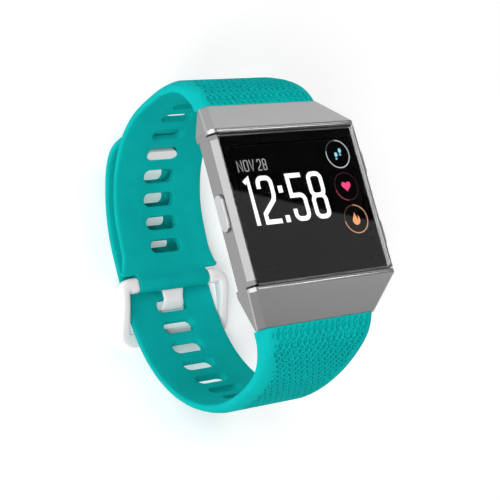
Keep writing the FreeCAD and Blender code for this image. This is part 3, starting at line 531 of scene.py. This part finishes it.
NODE_MATERIALS = {
    "case_frame": CASE_METAL, "upper_end_cover": COVER_METAL, "lower_end_cover": COVER_METAL,
    "antenna_strip_upper": ANTENNA, "antenna_strip_lower": ANTENNA, "cover_glass": GLASS,
    "display_gasket": GASKET, "display_panel": DISPLAY, "display_plate": STEEL, "main_board": BOARD,
    "board_screws": STEEL, "board_chips": CHIP, "battery": FOIL, "vibration_motor": STEEL,
    "back_cover": BACK, "charging_contacts": GOLD, "sensor_window": SENSOR_GLASS, "sensor_board": BOARD,
    "sensor_leds": LED, "sensor_photodiode": CHIP, "button_left": BUTTON_METAL,
    "button_right_upper": BUTTON_METAL, "button_right_lower": BUTTON_METAL, "button_seals": RUBBER,
    "button_switches": STEEL, "strap_connector_upper": CHIP, "strap_connector_lower": CHIP,
    "release_button_upper": STEEL, "release_button_lower": STEEL, "release_spring_upper": STEEL,
    "release_spring_lower": STEEL, "buckle_frame": WHITE, "buckle_tongue": WHITE, "tail_peg": WHITE,
    "pin_barrel": STEEL, "pin_tip_left": STEEL, "pin_tip_right": STEEL, "pin_spring": STEEL,
    "strap_upper": SILICONE, "strap_lower": SILICONE,
}
for node_name, material in NODE_MATERIALS.items():
    NODES[node_name].data.materials.clear()
    NODES[node_name].data.materials.append(material)


# ---------------------------------------------------------------- straps
def holes_for(slots):
    return [pill_loop(SLOT_WIDE, SLOT_TALL, (0.0, s), SLOT_ROUND) for s in slots]


peg_hole = pill_loop(PEG_WIDE, PEG_TALL, (0.0, PEG_AT), SLOT_ROUND * 0.3)
lower = slab("strap_lower_skin", LOWER, strap_outline(LOWER, LOWER.length, TIP_CORNER),
             holes_for(LOWER_SLOTS) + [peg_hole], list(texture_strokes(LOWER)), SILICONE)
upper = slab("strap_upper_skin", UPPER, strap_outline(UPPER, UPPER_END, 0.8),
             holes_for(UPPER_SLOTS), list(texture_strokes(UPPER)), SILICONE)
for piece, node_name in ((lower, "strap_lower"), (upper, "strap_upper")):
    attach(piece, "case")
    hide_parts(node_name)


# ---------------------------------------------------------------- the roll on the upper strap's end
def circle_points(radius, start, stop, steps):
    """Points on a circle about the pin in (y, z), by angle in degrees."""
    angles = [math.radians(start + (stop - start) * step / steps) for step in range(steps + 1)]
    return [(PIN[0] + radius * math.cos(a), PIN[1] + radius * math.sin(a)) for a in angles]


ROLL_EDGE, ROLL_EDGE_STEPS = 0.45, 4


def strap_roll():
    """The rolled end that holds the pin: solid at both sides, a skin over the tongue's ring between."""
    y1, z1, n1 = UPPER.at(UPPER_END)
    y0, z0, n0 = UPPER.at(UPPER_END - 1.6)
    thick = thickness(UPPER_END)
    lead = [(y0, z0 - 0.02), (y1, z1 + 0.03), (y1 - 0.9, z1 + 0.42)]
    over = circle_points(ROLL_RADIUS, 84.0, 180.0, 12)
    full = circle_points(ROLL_RADIUS, 188.0, 290.0, 12)
    last = [(y1 + n1[0] * thick, z1 + n1[1] * thick + 0.03),
            (y0 + n0[0] * thick, z0 + n0[1] * thick + 0.02)]
    hollow = circle_points(RING_SPACE, 184.0, 0.0, 12)
    solid_part = lead + over + full + [(y1 - 0.35, z1 - thick + 0.12)] + last
    skin_part = lead + over + hollow + [(PIN[0] + RING_SPACE + 0.05, PIN[1] - 1.0)] + last
    rounding = []
    for step in range(ROLL_EDGE_STEPS + 1):
        angle = math.radians(90.0 * step / ROLL_EDGE_STEPS)
        x = -ROLL_HALF + ROLL_EDGE * (1 - math.cos(angle)) * 0.9
        rounding.append((x, solid_part, ROLL_EDGE * (1 - math.sin(angle))))
    stations = rounding + [(-ROLL_CUTOUT, solid_part, 0.0), (-ROLL_CUTOUT, skin_part, 0.0),
                           (ROLL_CUTOUT, skin_part, 0.0), (ROLL_CUTOUT, solid_part, 0.0)]
    stations += [(-x, profile, inset) for x, profile, inset in rounding[::-1]]
    middle = Vector(np.mean(solid_part, axis=0))
    vertices = []
    for x, profile, inset in stations:
        for point in profile:
            y, z = Vector(point) - (Vector(point) - middle).normalized() * inset
            vertices.append(Vector((x, y, z)) * MM)
    faces = tube_faces(len(stations), len(solid_part))
    return make_object("strap_upper_roll", vertices, faces, SILICONE, 40.0)


roll_piece = strap_roll()
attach(roll_piece, "case")


# ---------------------------------------------------------------- what the display shows
SCREEN_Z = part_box("display_panel")[1].z / MM
INK_LOW, INK_HIGH = SCREEN_Z + 0.004, SCREEN_Z + 0.014


def ink(name, colour, strength):
    """A lit colour on the screen, a little uneven like a real panel."""
    base = tuple(c * 0.2 for c in colour)
    material = add_grain(new_material(name, base, 0.4), 1500.0, 0.000001, rough_spread=0.05)
    shader = material.node_tree.nodes["Principled BSDF"]
    shader.inputs["Emission Color"].default_value = (*colour, 1.0)
    shader.inputs["Emission Strength"].default_value = strength
    return material


def arc(cx, cy, radius, start, stop, steps=8):
    angles = [math.radians(start + (stop - start) * i / steps) for i in range(steps + 1)]
    return [(cx + radius * math.cos(a), cy + radius * math.sin(a)) for a in angles]


def tidy_line(points):
    kept = [points[0]]
    for p in points[1:]:
        if math.dist(p, kept[-1]) > 1e-4:
            kept.append(p)
    return kept


class Plate:
    """Thin lit shapes on the screen, gathered into one piece."""

    def __init__(self):
        self.vertices, self.faces = [], []

    def prism(self, loop):
        """A thin solid tile with the outline of a closed loop."""
        start, count = len(self.vertices), len(loop)
        self.vertices += [Vector((x, y, INK_LOW)) * MM for x, y in loop]
        self.vertices += [Vector((x, y, INK_HIGH)) * MM for x, y in loop]
        self.faces.append(tuple(range(start + count - 1, start - 1, -1)))
        self.faces.append(tuple(range(start + count, start + 2 * count)))
        for i in range(count):
            j = (i + 1) % count
            self.faces.append((start + i, start + j, start + count + j, start + count + i))

    def ribbon(self, line, width, closed=False):
        """A stroke of even width along a line, as a chain of blocks with mitred joints."""
        line = tidy_line(line)
        if closed and math.dist(line[0], line[-1]) < 1e-4:
            line = line[:-1]
        count = len(line)
        sides = []
        for i in range(count):
            before = Vector(line[i]) - Vector(line[i - 1]) if closed or i else None
            after = Vector(line[(i + 1) % count]) - Vector(line[i]) if closed or i < count - 1 else None
            first = (before if before is not None else after).normalized()
            second = (after if after is not None else before).normalized()
            along = (first + second).normalized()
            normal = Vector((-along.y, along.x))
            reach = width / 2 / max(0.6, normal.dot(Vector((-first.y, first.x))))
            here = Vector(line[i])
            sides.append((here + normal * reach, here - normal * reach))
        start = len(self.vertices)
        for left, right in sides:
            for point, level in ((left, INK_LOW), (left, INK_HIGH), (right, INK_HIGH), (right, INK_LOW)):
                self.vertices.append(Vector((point.x, point.y, level)) * MM)
        for i in range(count if closed else count - 1):
            a, b = start + 4 * i, start + 4 * ((i + 1) % count)
            for k in range(4):
                m = (k + 1) % 4
                self.faces.append((a + k, a + m, b + m, b + k))
        if not closed:
            self.faces.append((start, start + 1, start + 2, start + 3))
            end = start + 4 * (count - 1)
            self.faces.append((end + 3, end + 2, end + 1, end))

    def finish(self, name, material):
        """Turn the gathered shapes into a named piece that rides on the case."""
        piece = make_object(name, self.vertices, self.faces, material)
        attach(piece, "case")
        return piece


def glyph(plate, sign, left, right, low, high, stroke):
    """One digit or letter in a box, drawn as round-cornered strokes."""
    x0, x1 = left + stroke / 2, right - stroke / 2
    y0, y1 = low + stroke / 2, high - stroke / 2
    mid = (y0 + y1) / 2
    r = min((x1 - x0) * 0.36, (y1 - mid) * 0.5)
    if sign == "1":
        plate.ribbon([(x0 + stroke * 0.1, y1 - (right - left) * 0.36), (x1, y1), (x1, low)], stroke)
    elif sign == "2":
        plate.ribbon([(x0, y1 - 1.9 * r), (x0, y1 - r)] + arc(x0 + r, y1 - r, r, 180, 90)
                     + arc(x1 - r, y1 - r, r, 90, 0) + [(x1, mid + 0.9 * r), (x1 - 0.3 * r, mid - 0.1 * r),
                     (x0, y0 + 1.5 * r), (x0, y0), (right, y0)], stroke)
    elif sign == "5":
        plate.ribbon([(right - stroke * 0.2, y1), (x0, y1), (x0, mid + 0.35 * r)]
                     + arc(x1 - r, mid - 0.65 * r, r, 90, 0) + arc(x1 - r, y0 + r, r, 0, -90)
                     + arc(x0 + r, y0 + r, r, -90, -180) + [(x0, y0 + 1.9 * r)], stroke)
    elif sign in "80O":
        r = min(r, (x1 - x0) / 2)
        whole = sign != "8"
        for bottom, top in (((y0, y1),) if whole else ((mid, y1), (y0, mid))):
            plate.ribbon(arc(x1 - r, top - r, r, 0, 90) + arc(x0 + r, top - r, r, 90, 180)
                         + arc(x0 + r, bottom + r, r, 180, 270) + arc(x1 - r, bottom + r, r, 270, 360),
                         stroke, True)
    elif sign == "N":
        plate.ribbon([(x0, low), (x0, y1), (x1, y0), (x1, high)], stroke)
    elif sign == "V":
        plate.ribbon([(x0, high), ((x0 + x1) / 2, y0), (x1, high)], stroke)


TIME_LOW, TIME_HIGH, TIME_STROKE = -3.7, 6.28, 0.96
DIGITS = (("1", -14.1, -12.0), ("2", -10.75, -6.65), ("5", -3.3, 0.8), ("8", 1.95, 6.0))
time_plate = Plate()
for sign, left, right in DIGITS:
    glyph(time_plate, sign, left, right, TIME_LOW, TIME_HIGH, TIME_STROKE)
time_plate.prism([(-5.7, 2.5), (-4.6, 2.5), (-4.6, 3.95), (-5.7, 3.95)])
time_plate.prism([(-5.7, -3.65), (-4.6, -3.65), (-4.6, -2.2), (-5.7, -2.2)])
time_plate.finish("screen_time", ink("ink_white", (1.0, 1.0, 1.0), 1.15))

DATE_LOW, DATE_HIGH, DATE_STROKE = 7.35, 9.75, 0.22
DATE = (("N", -14.1, -12.85), ("O", -12.5, -11.35), ("V", -11.1, -9.85), ("2", -9.15, -8.2),
        ("8", -7.85, -6.9))
date_plate = Plate()
for sign, left, right in DATE:
    glyph(date_plate, sign, left, right, DATE_LOW, DATE_HIGH, DATE_STROKE)
date_plate.finish("screen_date", ink("ink_grey", (0.45, 0.45, 0.45), 0.8))

RING_RADIUS, RING_STROKE, TRACK_STROKE = 2.95, 0.22, 0.18
RINGS = (("steps", 11.75, 9.5, 165.0, 450.0, (0.55, 0.62, 0.66)),
         ("pulse", 11.7, 2.5, 190.0, 265.0, (0.30, 0.05, 0.09)),
         ("burn", 11.9, -4.5, 185.0, 450.0, (0.70, 0.36, 0.19)))
for name, cx, cy, start, stop, colour in RINGS:
    ring = Plate()
    ring.ribbon(arc(cx, cy, RING_RADIUS, start, stop, 48), RING_STROKE)
    ring.finish("screen_ring_" + name, ink("ink_ring_" + name, colour, 0.9))
    track = Plate()
    track.ribbon(arc(cx, cy, RING_RADIUS, stop + 3.0, start + 357.0, 24), TRACK_STROKE)
    track.finish("screen_track_" + name, ink("ink_track_" + name, tuple(c * 0.12 for c in colour), 0.9))


def oval(cx, cy, wide, tall, lean):
    """An ellipse as a loop of points, leaning by an angle in degrees."""
    c, s = math.cos(math.radians(lean)), math.sin(math.radians(lean))
    points = []
    for i in range(16):
        a = 2 * math.pi * i / 16
        x, y = wide / 2 * math.cos(a), tall / 2 * math.sin(a)
        points.append((cx + x * c - y * s, cy + x * s + y * c))
    return points


steps_icon = Plate()
for cx, cy in ((11.25, 9.15), (12.45, 9.95)):
    steps_icon.prism(oval(cx, cy + 0.25, 0.78, 1.05, -12.0))
    steps_icon.prism(oval(cx - 0.12, cy - 0.62, 0.52, 0.42, -12.0))
steps_icon.finish("screen_steps", ink("ink_blue", (0.28, 0.62, 0.80), 1.1))

HEART_X, HEART_Y, HEART_SCALE, HEART_STEPS = 11.7, 2.6, 0.074, 40
heart = []
for i in range(HEART_STEPS):
    a = 2 * math.pi * i / HEART_STEPS
    x = 16 * math.sin(a) ** 3
    y = 13 * math.cos(a) - 5 * math.cos(2 * a) - 2 * math.cos(3 * a) - math.cos(4 * a)
    heart.append((HEART_X + x * HEART_SCALE, HEART_Y + y * HEART_SCALE))
heart_icon = Plate()
heart_icon.prism(heart)
heart_icon.finish("screen_heart", ink("ink_pink", (0.92, 0.06, 0.24), 1.1))

FLAME_X, FLAME_Y = 11.9, -4.5
FLAME = [(0.0, -1.3), (0.7, -1.0), (1.0, -0.3), (0.88, 0.35), (0.62, 0.75), (0.52, 0.1), (0.25, -0.2),
         (0.2, 0.4), (-0.02, 0.95), (-0.1, 1.5), (-0.42, 0.75), (-0.85, 0.1), (-1.0, -0.5), (-0.6, -1.1)]
flame_icon = Plate()
flame_icon.prism([(FLAME_X + x, FLAME_Y + y) for x, y in FLAME])
flame_icon.finish("screen_flame", ink("ink_orange", (1.0, 0.34, 0.14), 1.1))


# ---------------------------------------------------------------- buckle and tongue
class Spline:
    """A smooth line through (y, z) points, walked by distance along it."""

    def __init__(self, points):
        points = [Vector(p) for p in points]
        ends = [points[0] * 2 - points[1]] + points + [points[-1] * 2 - points[-2]]
        self.dots, self.far = [], [0.0]
        for i in range(1, len(ends) - 2):
            a, b, c, d = ends[i - 1:i + 3]
            for k in range(24):
                u = k / 24
                self.dots.append(0.5 * ((2 * b) + (c - a) * u + (2 * a - 5 * b + 4 * c - d) * u ** 2
                                        + (3 * b - a - 3 * c + d) * u ** 3))
        self.dots.append(points[-1])
        for first, second in zip(self.dots, self.dots[1:]):
            self.far.append(self.far[-1] + (second - first).length)
        self.length = self.far[-1]

    def at(self, distance):
        """(point, upward normal) at a distance; straight beyond both ends."""
        beyond = next((k for k, f in enumerate(self.far) if f > distance), len(self.far))
        i = max(0, min(len(self.dots) - 2, beyond - 1))
        step = self.dots[i + 1] - self.dots[i]
        along = step.normalized()
        point = self.dots[i] + along * (distance - self.far[i])
        return point, Vector((along.y, -along.x)) if along.x < 0 else Vector((-along.y, along.x))


def sweep(name, spline, stations, material, power=3.2, around=20):
    """A bar swept in the spline's sheet. A station is (x, distance, heading, half width, low, high)."""
    vertices = []
    for x, distance, heading, half, low, high in stations:
        turn = math.radians(heading)
        side = (-math.sin(turn), math.cos(turn))
        for k in range(around):
            a = 2 * math.pi * k / around
            c, s = math.cos(a), math.sin(a)
            across = half * math.copysign(abs(c) ** (2 / power), c)
            up = (low + high) / 2 + (high - low) / 2 * math.copysign(abs(s) ** (2 / power), s)
            point, normal = spline.at(distance + side[1] * across)
            px = x + side[0] * across
            vertices.append(Vector((px, point.x + normal.x * up, point.y + normal.y * up)) * MM)
    return make_object(name, vertices, tube_faces(len(stations), around), material, 50.0)


BUCKLE_LINE = Spline([(PIN[0], PIN[1]), (PIN[0] - 2.4, PIN[1] - 0.25), (PIN[0] - 5.2, PIN[1] - 1.3),
                      (PIN[0] - 8.4, PIN[1] - 2.7), (PIN[0] - 10.6, 0.78), (-12.9, 0.52), (-14.6, 0.50)])
ARM_MIDDLE, BOSS_INNER, BAR_AT = 13.35, 9.62, BUCKLE_LINE.length - 2.1
BOSS_RADIUS, TURN_RADIUS, CORNER_RADIUS, TURN_STEPS, ARM_STEPS = 1.72, 1.9, 2.0, 9, 12
ARM_HALF, BAR_SECTION = 1.22, (1.57, -0.47, 0.38)


def buckle_stations():
    """Round boss, turn, arm, turn, bar, and the same again mirrored."""
    half_run = []
    for x in (BOSS_INNER, BOSS_INNER + 0.06, BOSS_INNER + 0.3, 10.6, 11.2):
        shrink = 0.28 if x == BOSS_INNER else 0.1 if x < BOSS_INNER + 0.1 else 0.0
        half = BOSS_RADIUS - shrink
        half_run.append((x, 0.0, 0.0, half, -half, half))
    for step in range(1, TURN_STEPS):
        blend = step / TURN_STEPS
        angle = math.radians(90.0 * blend)
        x = ARM_MIDDLE - TURN_RADIUS + TURN_RADIUS * math.sin(angle)
        distance = TURN_RADIUS - TURN_RADIUS * math.cos(angle)
        half_run.append((x, distance, math.degrees(angle),
                         BOSS_RADIUS - 0.5 * blend, -1.7 + 0.15 * blend, 1.7 - 0.1 * blend))
    low_run = BAR_AT - CORNER_RADIUS
    for step in range(ARM_STEPS + 1):
        share = step / ARM_STEPS
        thin = 1.55 * (1 - share) ** 0.8 + 0.62 * (1 - (1 - share) ** 0.8)
        distance = TURN_RADIUS + (low_run - TURN_RADIUS) * share
        half_run.append((ARM_MIDDLE, distance, 90.0, ARM_HALF, max(-thin, -1.5), thin))
    for step in range(1, TURN_STEPS + 1):
        blend = step / TURN_STEPS
        angle = math.radians(90.0 * blend)
        x = ARM_MIDDLE - CORNER_RADIUS + CORNER_RADIUS * math.cos(angle)
        half_run.append((x, low_run + CORNER_RADIUS * math.sin(angle), 90.0 + math.degrees(angle),
                         ARM_HALF + 0.35 * blend, -0.55 + 0.08 * blend, 0.62 - 0.22 * blend))
    half_run += [(x, BAR_AT, 180.0, *BAR_SECTION) for x in (6.0, 0.0)]
    mirrored = [(-x, distance, 360.0 - heading, *section)
                for x, distance, heading, *section in half_run[-2::-1]]
    return half_run + mirrored


buckle_piece = sweep("buckle_loop", BUCKLE_LINE, buckle_stations(), WHITE)
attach(buckle_piece, "buckle")
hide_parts("buckle_frame")

TONGUE_BEND = ((0.7, -0.55), (-1.0, -0.6), (-2.5, -0.78), (-3.9, -1.2), (-4.95, -2.05), (-5.5, -2.95),
               (-5.85, -3.55))
TONGUE_LINE = Spline([(PIN[0] + y, PIN[1] + z) for y, z in TONGUE_BEND])
TONGUE_STEPS = 28
tongue_run = []
for step in range(TONGUE_STEPS + 1):
    share = step / TONGUE_STEPS
    half = 2.84 - 0.36 * math.exp(-((share - 0.55) / 0.16) ** 2) + 0.10 * share
    thick = 0.48 - 0.06 * share
    ends = math.sqrt(max(0.0, 1 - max(0.0, (share - 0.93) / 0.07) ** 2)) * 0.8 + 0.2
    tongue_run.append((0.0, TONGUE_LINE.length * share, 90.0,
                       half * (0.9 + 0.1 * ends), -thick * ends, thick * ends))
tongue_piece = sweep("buckle_tongue_arm", TONGUE_LINE, tongue_run, WHITE, 4.0, 28)
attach(tongue_piece, "tongue")
TUBE_HALF, TUBE_INNER, TUBE_OUTER, TUBE_STEPS = 2.65, 0.87, 1.25, 40
ring_vertices, ring_faces = [], []
for x in (-TUBE_HALF, TUBE_HALF):
    for radius in (TUBE_INNER, TUBE_OUTER):
        for k in range(TUBE_STEPS):
            a = 2 * math.pi * k / TUBE_STEPS
            y, z = PIN[0] + radius * math.cos(a), PIN[1] + radius * math.sin(a)
            ring_vertices.append(Vector((x, y, z)) * MM)
for k in range(TUBE_STEPS):
    m = (k + 1) % TUBE_STEPS
    left_in, left_out, right_in, right_out = ((n * TUBE_STEPS + k, n * TUBE_STEPS + m) for n in range(4))
    ring_faces += [(*left_in, *left_out[::-1]), (right_in[0], *right_out, right_in[1]),
                   (*left_out, *right_out[::-1]), (left_in[0], *right_in, left_in[1])]
ring_piece = make_object("buckle_tongue_ring", ring_vertices, ring_faces, WHITE, 40.0)
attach(ring_piece, "tongue")
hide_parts("buckle_tongue")


# ---------------------------------------------------------------- polished lips beside the glass
LIP_RADIUS, LIP_HALF, LIP_STEPS = 0.27, 17.0, 16
COVER_LOW, COVER_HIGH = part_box("upper_end_cover")


def cover_lip(name, side):
    """A half-sunk round lip along the edge of an end cover, with tapered ends."""
    y, z = side * (COVER_LOW.y / MM + 0.36), COVER_HIGH.z / MM - 0.20
    stations = [(-LIP_HALF, 0.15), (-LIP_HALF + 0.15, 0.75), (-LIP_HALF + 0.5, 1.0)]
    stations += [(-x, share) for x, share in stations[::-1]]
    vertices = []
    for x, share in stations:
        for k in range(LIP_STEPS):
            a = 2 * math.pi * k / LIP_STEPS
            around, up = LIP_RADIUS * share * math.cos(a), LIP_RADIUS * share * math.sin(a)
            vertices.append(Vector((x, y + around, z + up)) * MM)
    piece = make_object(name, vertices, tube_faces(len(stations), LIP_STEPS), LIP_METAL, 60.0)
    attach(piece, "case")


cover_lip("cover_lip_upper", 1)
cover_lip("cover_lip_lower", -1)


# ---------------------------------------------------------------- softened edges on hard pieces
SOFT_ANGLE = 28.0
SOFT_EDGES = (("case_frame", 0.12, 3), ("upper_end_cover", 0.32, 4), ("lower_end_cover", 0.32, 4),
              ("tail_peg", 0.22, 3), ("button_left", 0.3, 3), ("back_cover", 0.12, 3))


def soften(node_name, width, segments):
    """Small rounded edges: flat triangles are merged first so that the rounding runs clean."""
    obj = NODES[node_name]
    merge = obj.modifiers.new("merge_flats", "DECIMATE")
    merge.decimate_type = "DISSOLVE"
    merge.angle_limit = math.radians(1.0)
    bevel = obj.modifiers.new("soft_edges", "BEVEL")
    bevel.width = width * MM
    bevel.segments = segments
    bevel.limit_method = "ANGLE"
    bevel.angle_limit = math.radians(SOFT_ANGLE)
    bevel.use_clamp_overlap = True
    bevel.harden_normals = False


for node_name, width, segments in SOFT_EDGES:
    soften(node_name, width, segments)

# ---------------------------------------------------------------- stage, light and camera
VIEW_HEADING, VIEW_ELEVATION, VIEW_ROLL = 72.944, 51.622, 61.677
VIEW_DISTANCE = 0.2975
VIEW_TARGET = Vector((-0.00992, -0.00633, GLASS_HIGH.z - 0.00898))
LENS = 108.0
LIGHT_PLANE = 0.458
SHEEN_X, SHEEN_Y, SHEEN_TURN = 0.3173, 0.0473, -16.0
FLOOR_REACH = 3


def aim(heading, elevation):
    """Unit vector that looks down at an elevation, with the heading turned from +Y towards +X."""
    h, e = math.radians(heading), math.radians(elevation)
    return Vector((math.sin(h) * math.cos(e), math.cos(h) * math.cos(e), -math.sin(e)))


look = aim(VIEW_HEADING, VIEW_ELEVATION)
camera_data = bpy.data.cameras.new("camera")
camera_data.lens = LENS
camera_data.sensor_width = 36.0
camera_data.clip_start = 0.01
camera = bpy.data.objects.new("camera", camera_data)
right = look.cross(Vector((0, 0, 1))).normalized()
level_up = right.cross(look)
roll = math.radians(VIEW_ROLL)
cam_up = level_up * math.cos(roll) - right * math.sin(roll)
cam_right = look.cross(cam_up)
basis = Matrix((cam_right, cam_up, -look)).transposed().to_4x4()
camera.matrix_world = Matrix.Translation(VIEW_TARGET - look * VIEW_DISTANCE) @ basis
bpy.context.scene.collection.objects.link(camera)
bpy.context.scene.camera = camera


def area_light(name, location, target, size, power):
    """A white rectangular lamp that faces a target."""
    data = bpy.data.lights.new(name, "AREA")
    data.shape = "RECTANGLE"
    data.size, data.size_y = size
    data.energy = power
    light = bpy.data.objects.new(name, data)
    light.location = location
    light.rotation_euler = (Vector(target) - Vector(location)).to_track_quat("-Z", "Y").to_euler()
    bpy.context.scene.collection.objects.link(light)
    return light


CENTRE = (0.0, 0.0, 0.03)
area_light("key", (-0.42, 0.12, 0.36), CENTRE, (0.30, 0.30), 1.2)
area_light("left_near", (-0.37, -0.30, 0.40), CENTRE, (0.26, 0.26), 2.0)
area_light("left_far", (-0.28, 0.41, 0.15), CENTRE, (0.20, 0.20), 0.35)
area_light("top", (0.05, 0.10, 0.70), CENTRE, (0.50, 0.50), 1.8)
area_light("far_side", (0.30, 0.42, 0.12), CENTRE, (0.45, 0.22), 0.4)
area_light("near_side", (0.32, -0.31, 0.33), CENTRE, (0.20, 0.20), 0.35)
sheen = area_light("screen_sheen", (SHEEN_X, SHEEN_Y, LIGHT_PLANE), (SHEEN_X, SHEEN_Y, 0.0),
                   (0.36, 0.12), 0.034)
sheen.rotation_euler = (0.0, 0.0, math.radians(SHEEN_TURN))

world = bpy.data.worlds.new("studio")
bpy.context.scene.world = world
world.use_nodes = True
world.node_tree.nodes["Background"].inputs["Color"].default_value = (1.0, 1.0, 1.0, 1.0)
world.node_tree.nodes["Background"].inputs["Strength"].default_value = 0.05
bpy.context.scene.view_settings.view_transform = "Standard"


def sheet(name, corners, material):
    """A flat four-cornered sheet, for the stage around the object."""
    mesh = bpy.data.meshes.new(name)
    mesh.from_pydata(corners, [], [(0, 1, 2, 3)])
    piece = bpy.data.objects.new(name, mesh)
    bpy.context.scene.collection.objects.link(piece)
    piece.data.materials.append(material)
    return piece


FLOOR_CORNERS = ((-FLOOR_REACH, -FLOOR_REACH), (FLOOR_REACH, -FLOOR_REACH),
                 (FLOOR_REACH, FLOOR_REACH), (-FLOOR_REACH, FLOOR_REACH))
floor = sheet("floor", [(x, y, 0) for x, y in FLOOR_CORNERS],
              new_material("floor_white", (0.88, 0.88, 0.88), 0.7, Specular_IOR_Level=0.1,
                           Emission_Color=(1.0, 1.0, 1.0, 1.0), Emission_Strength=0.28))
SHADE_CORNERS = ((0.22, 0.1385), (0.44, 0.0755), (0.50, 0.27), (0.27, 0.33))
shade = sheet("shade", [(x, y, LIGHT_PLANE) for x, y in SHADE_CORNERS],
              new_material("shade_black", (0.0, 0.0, 0.0), 0.9, Specular_IOR_Level=0.0))
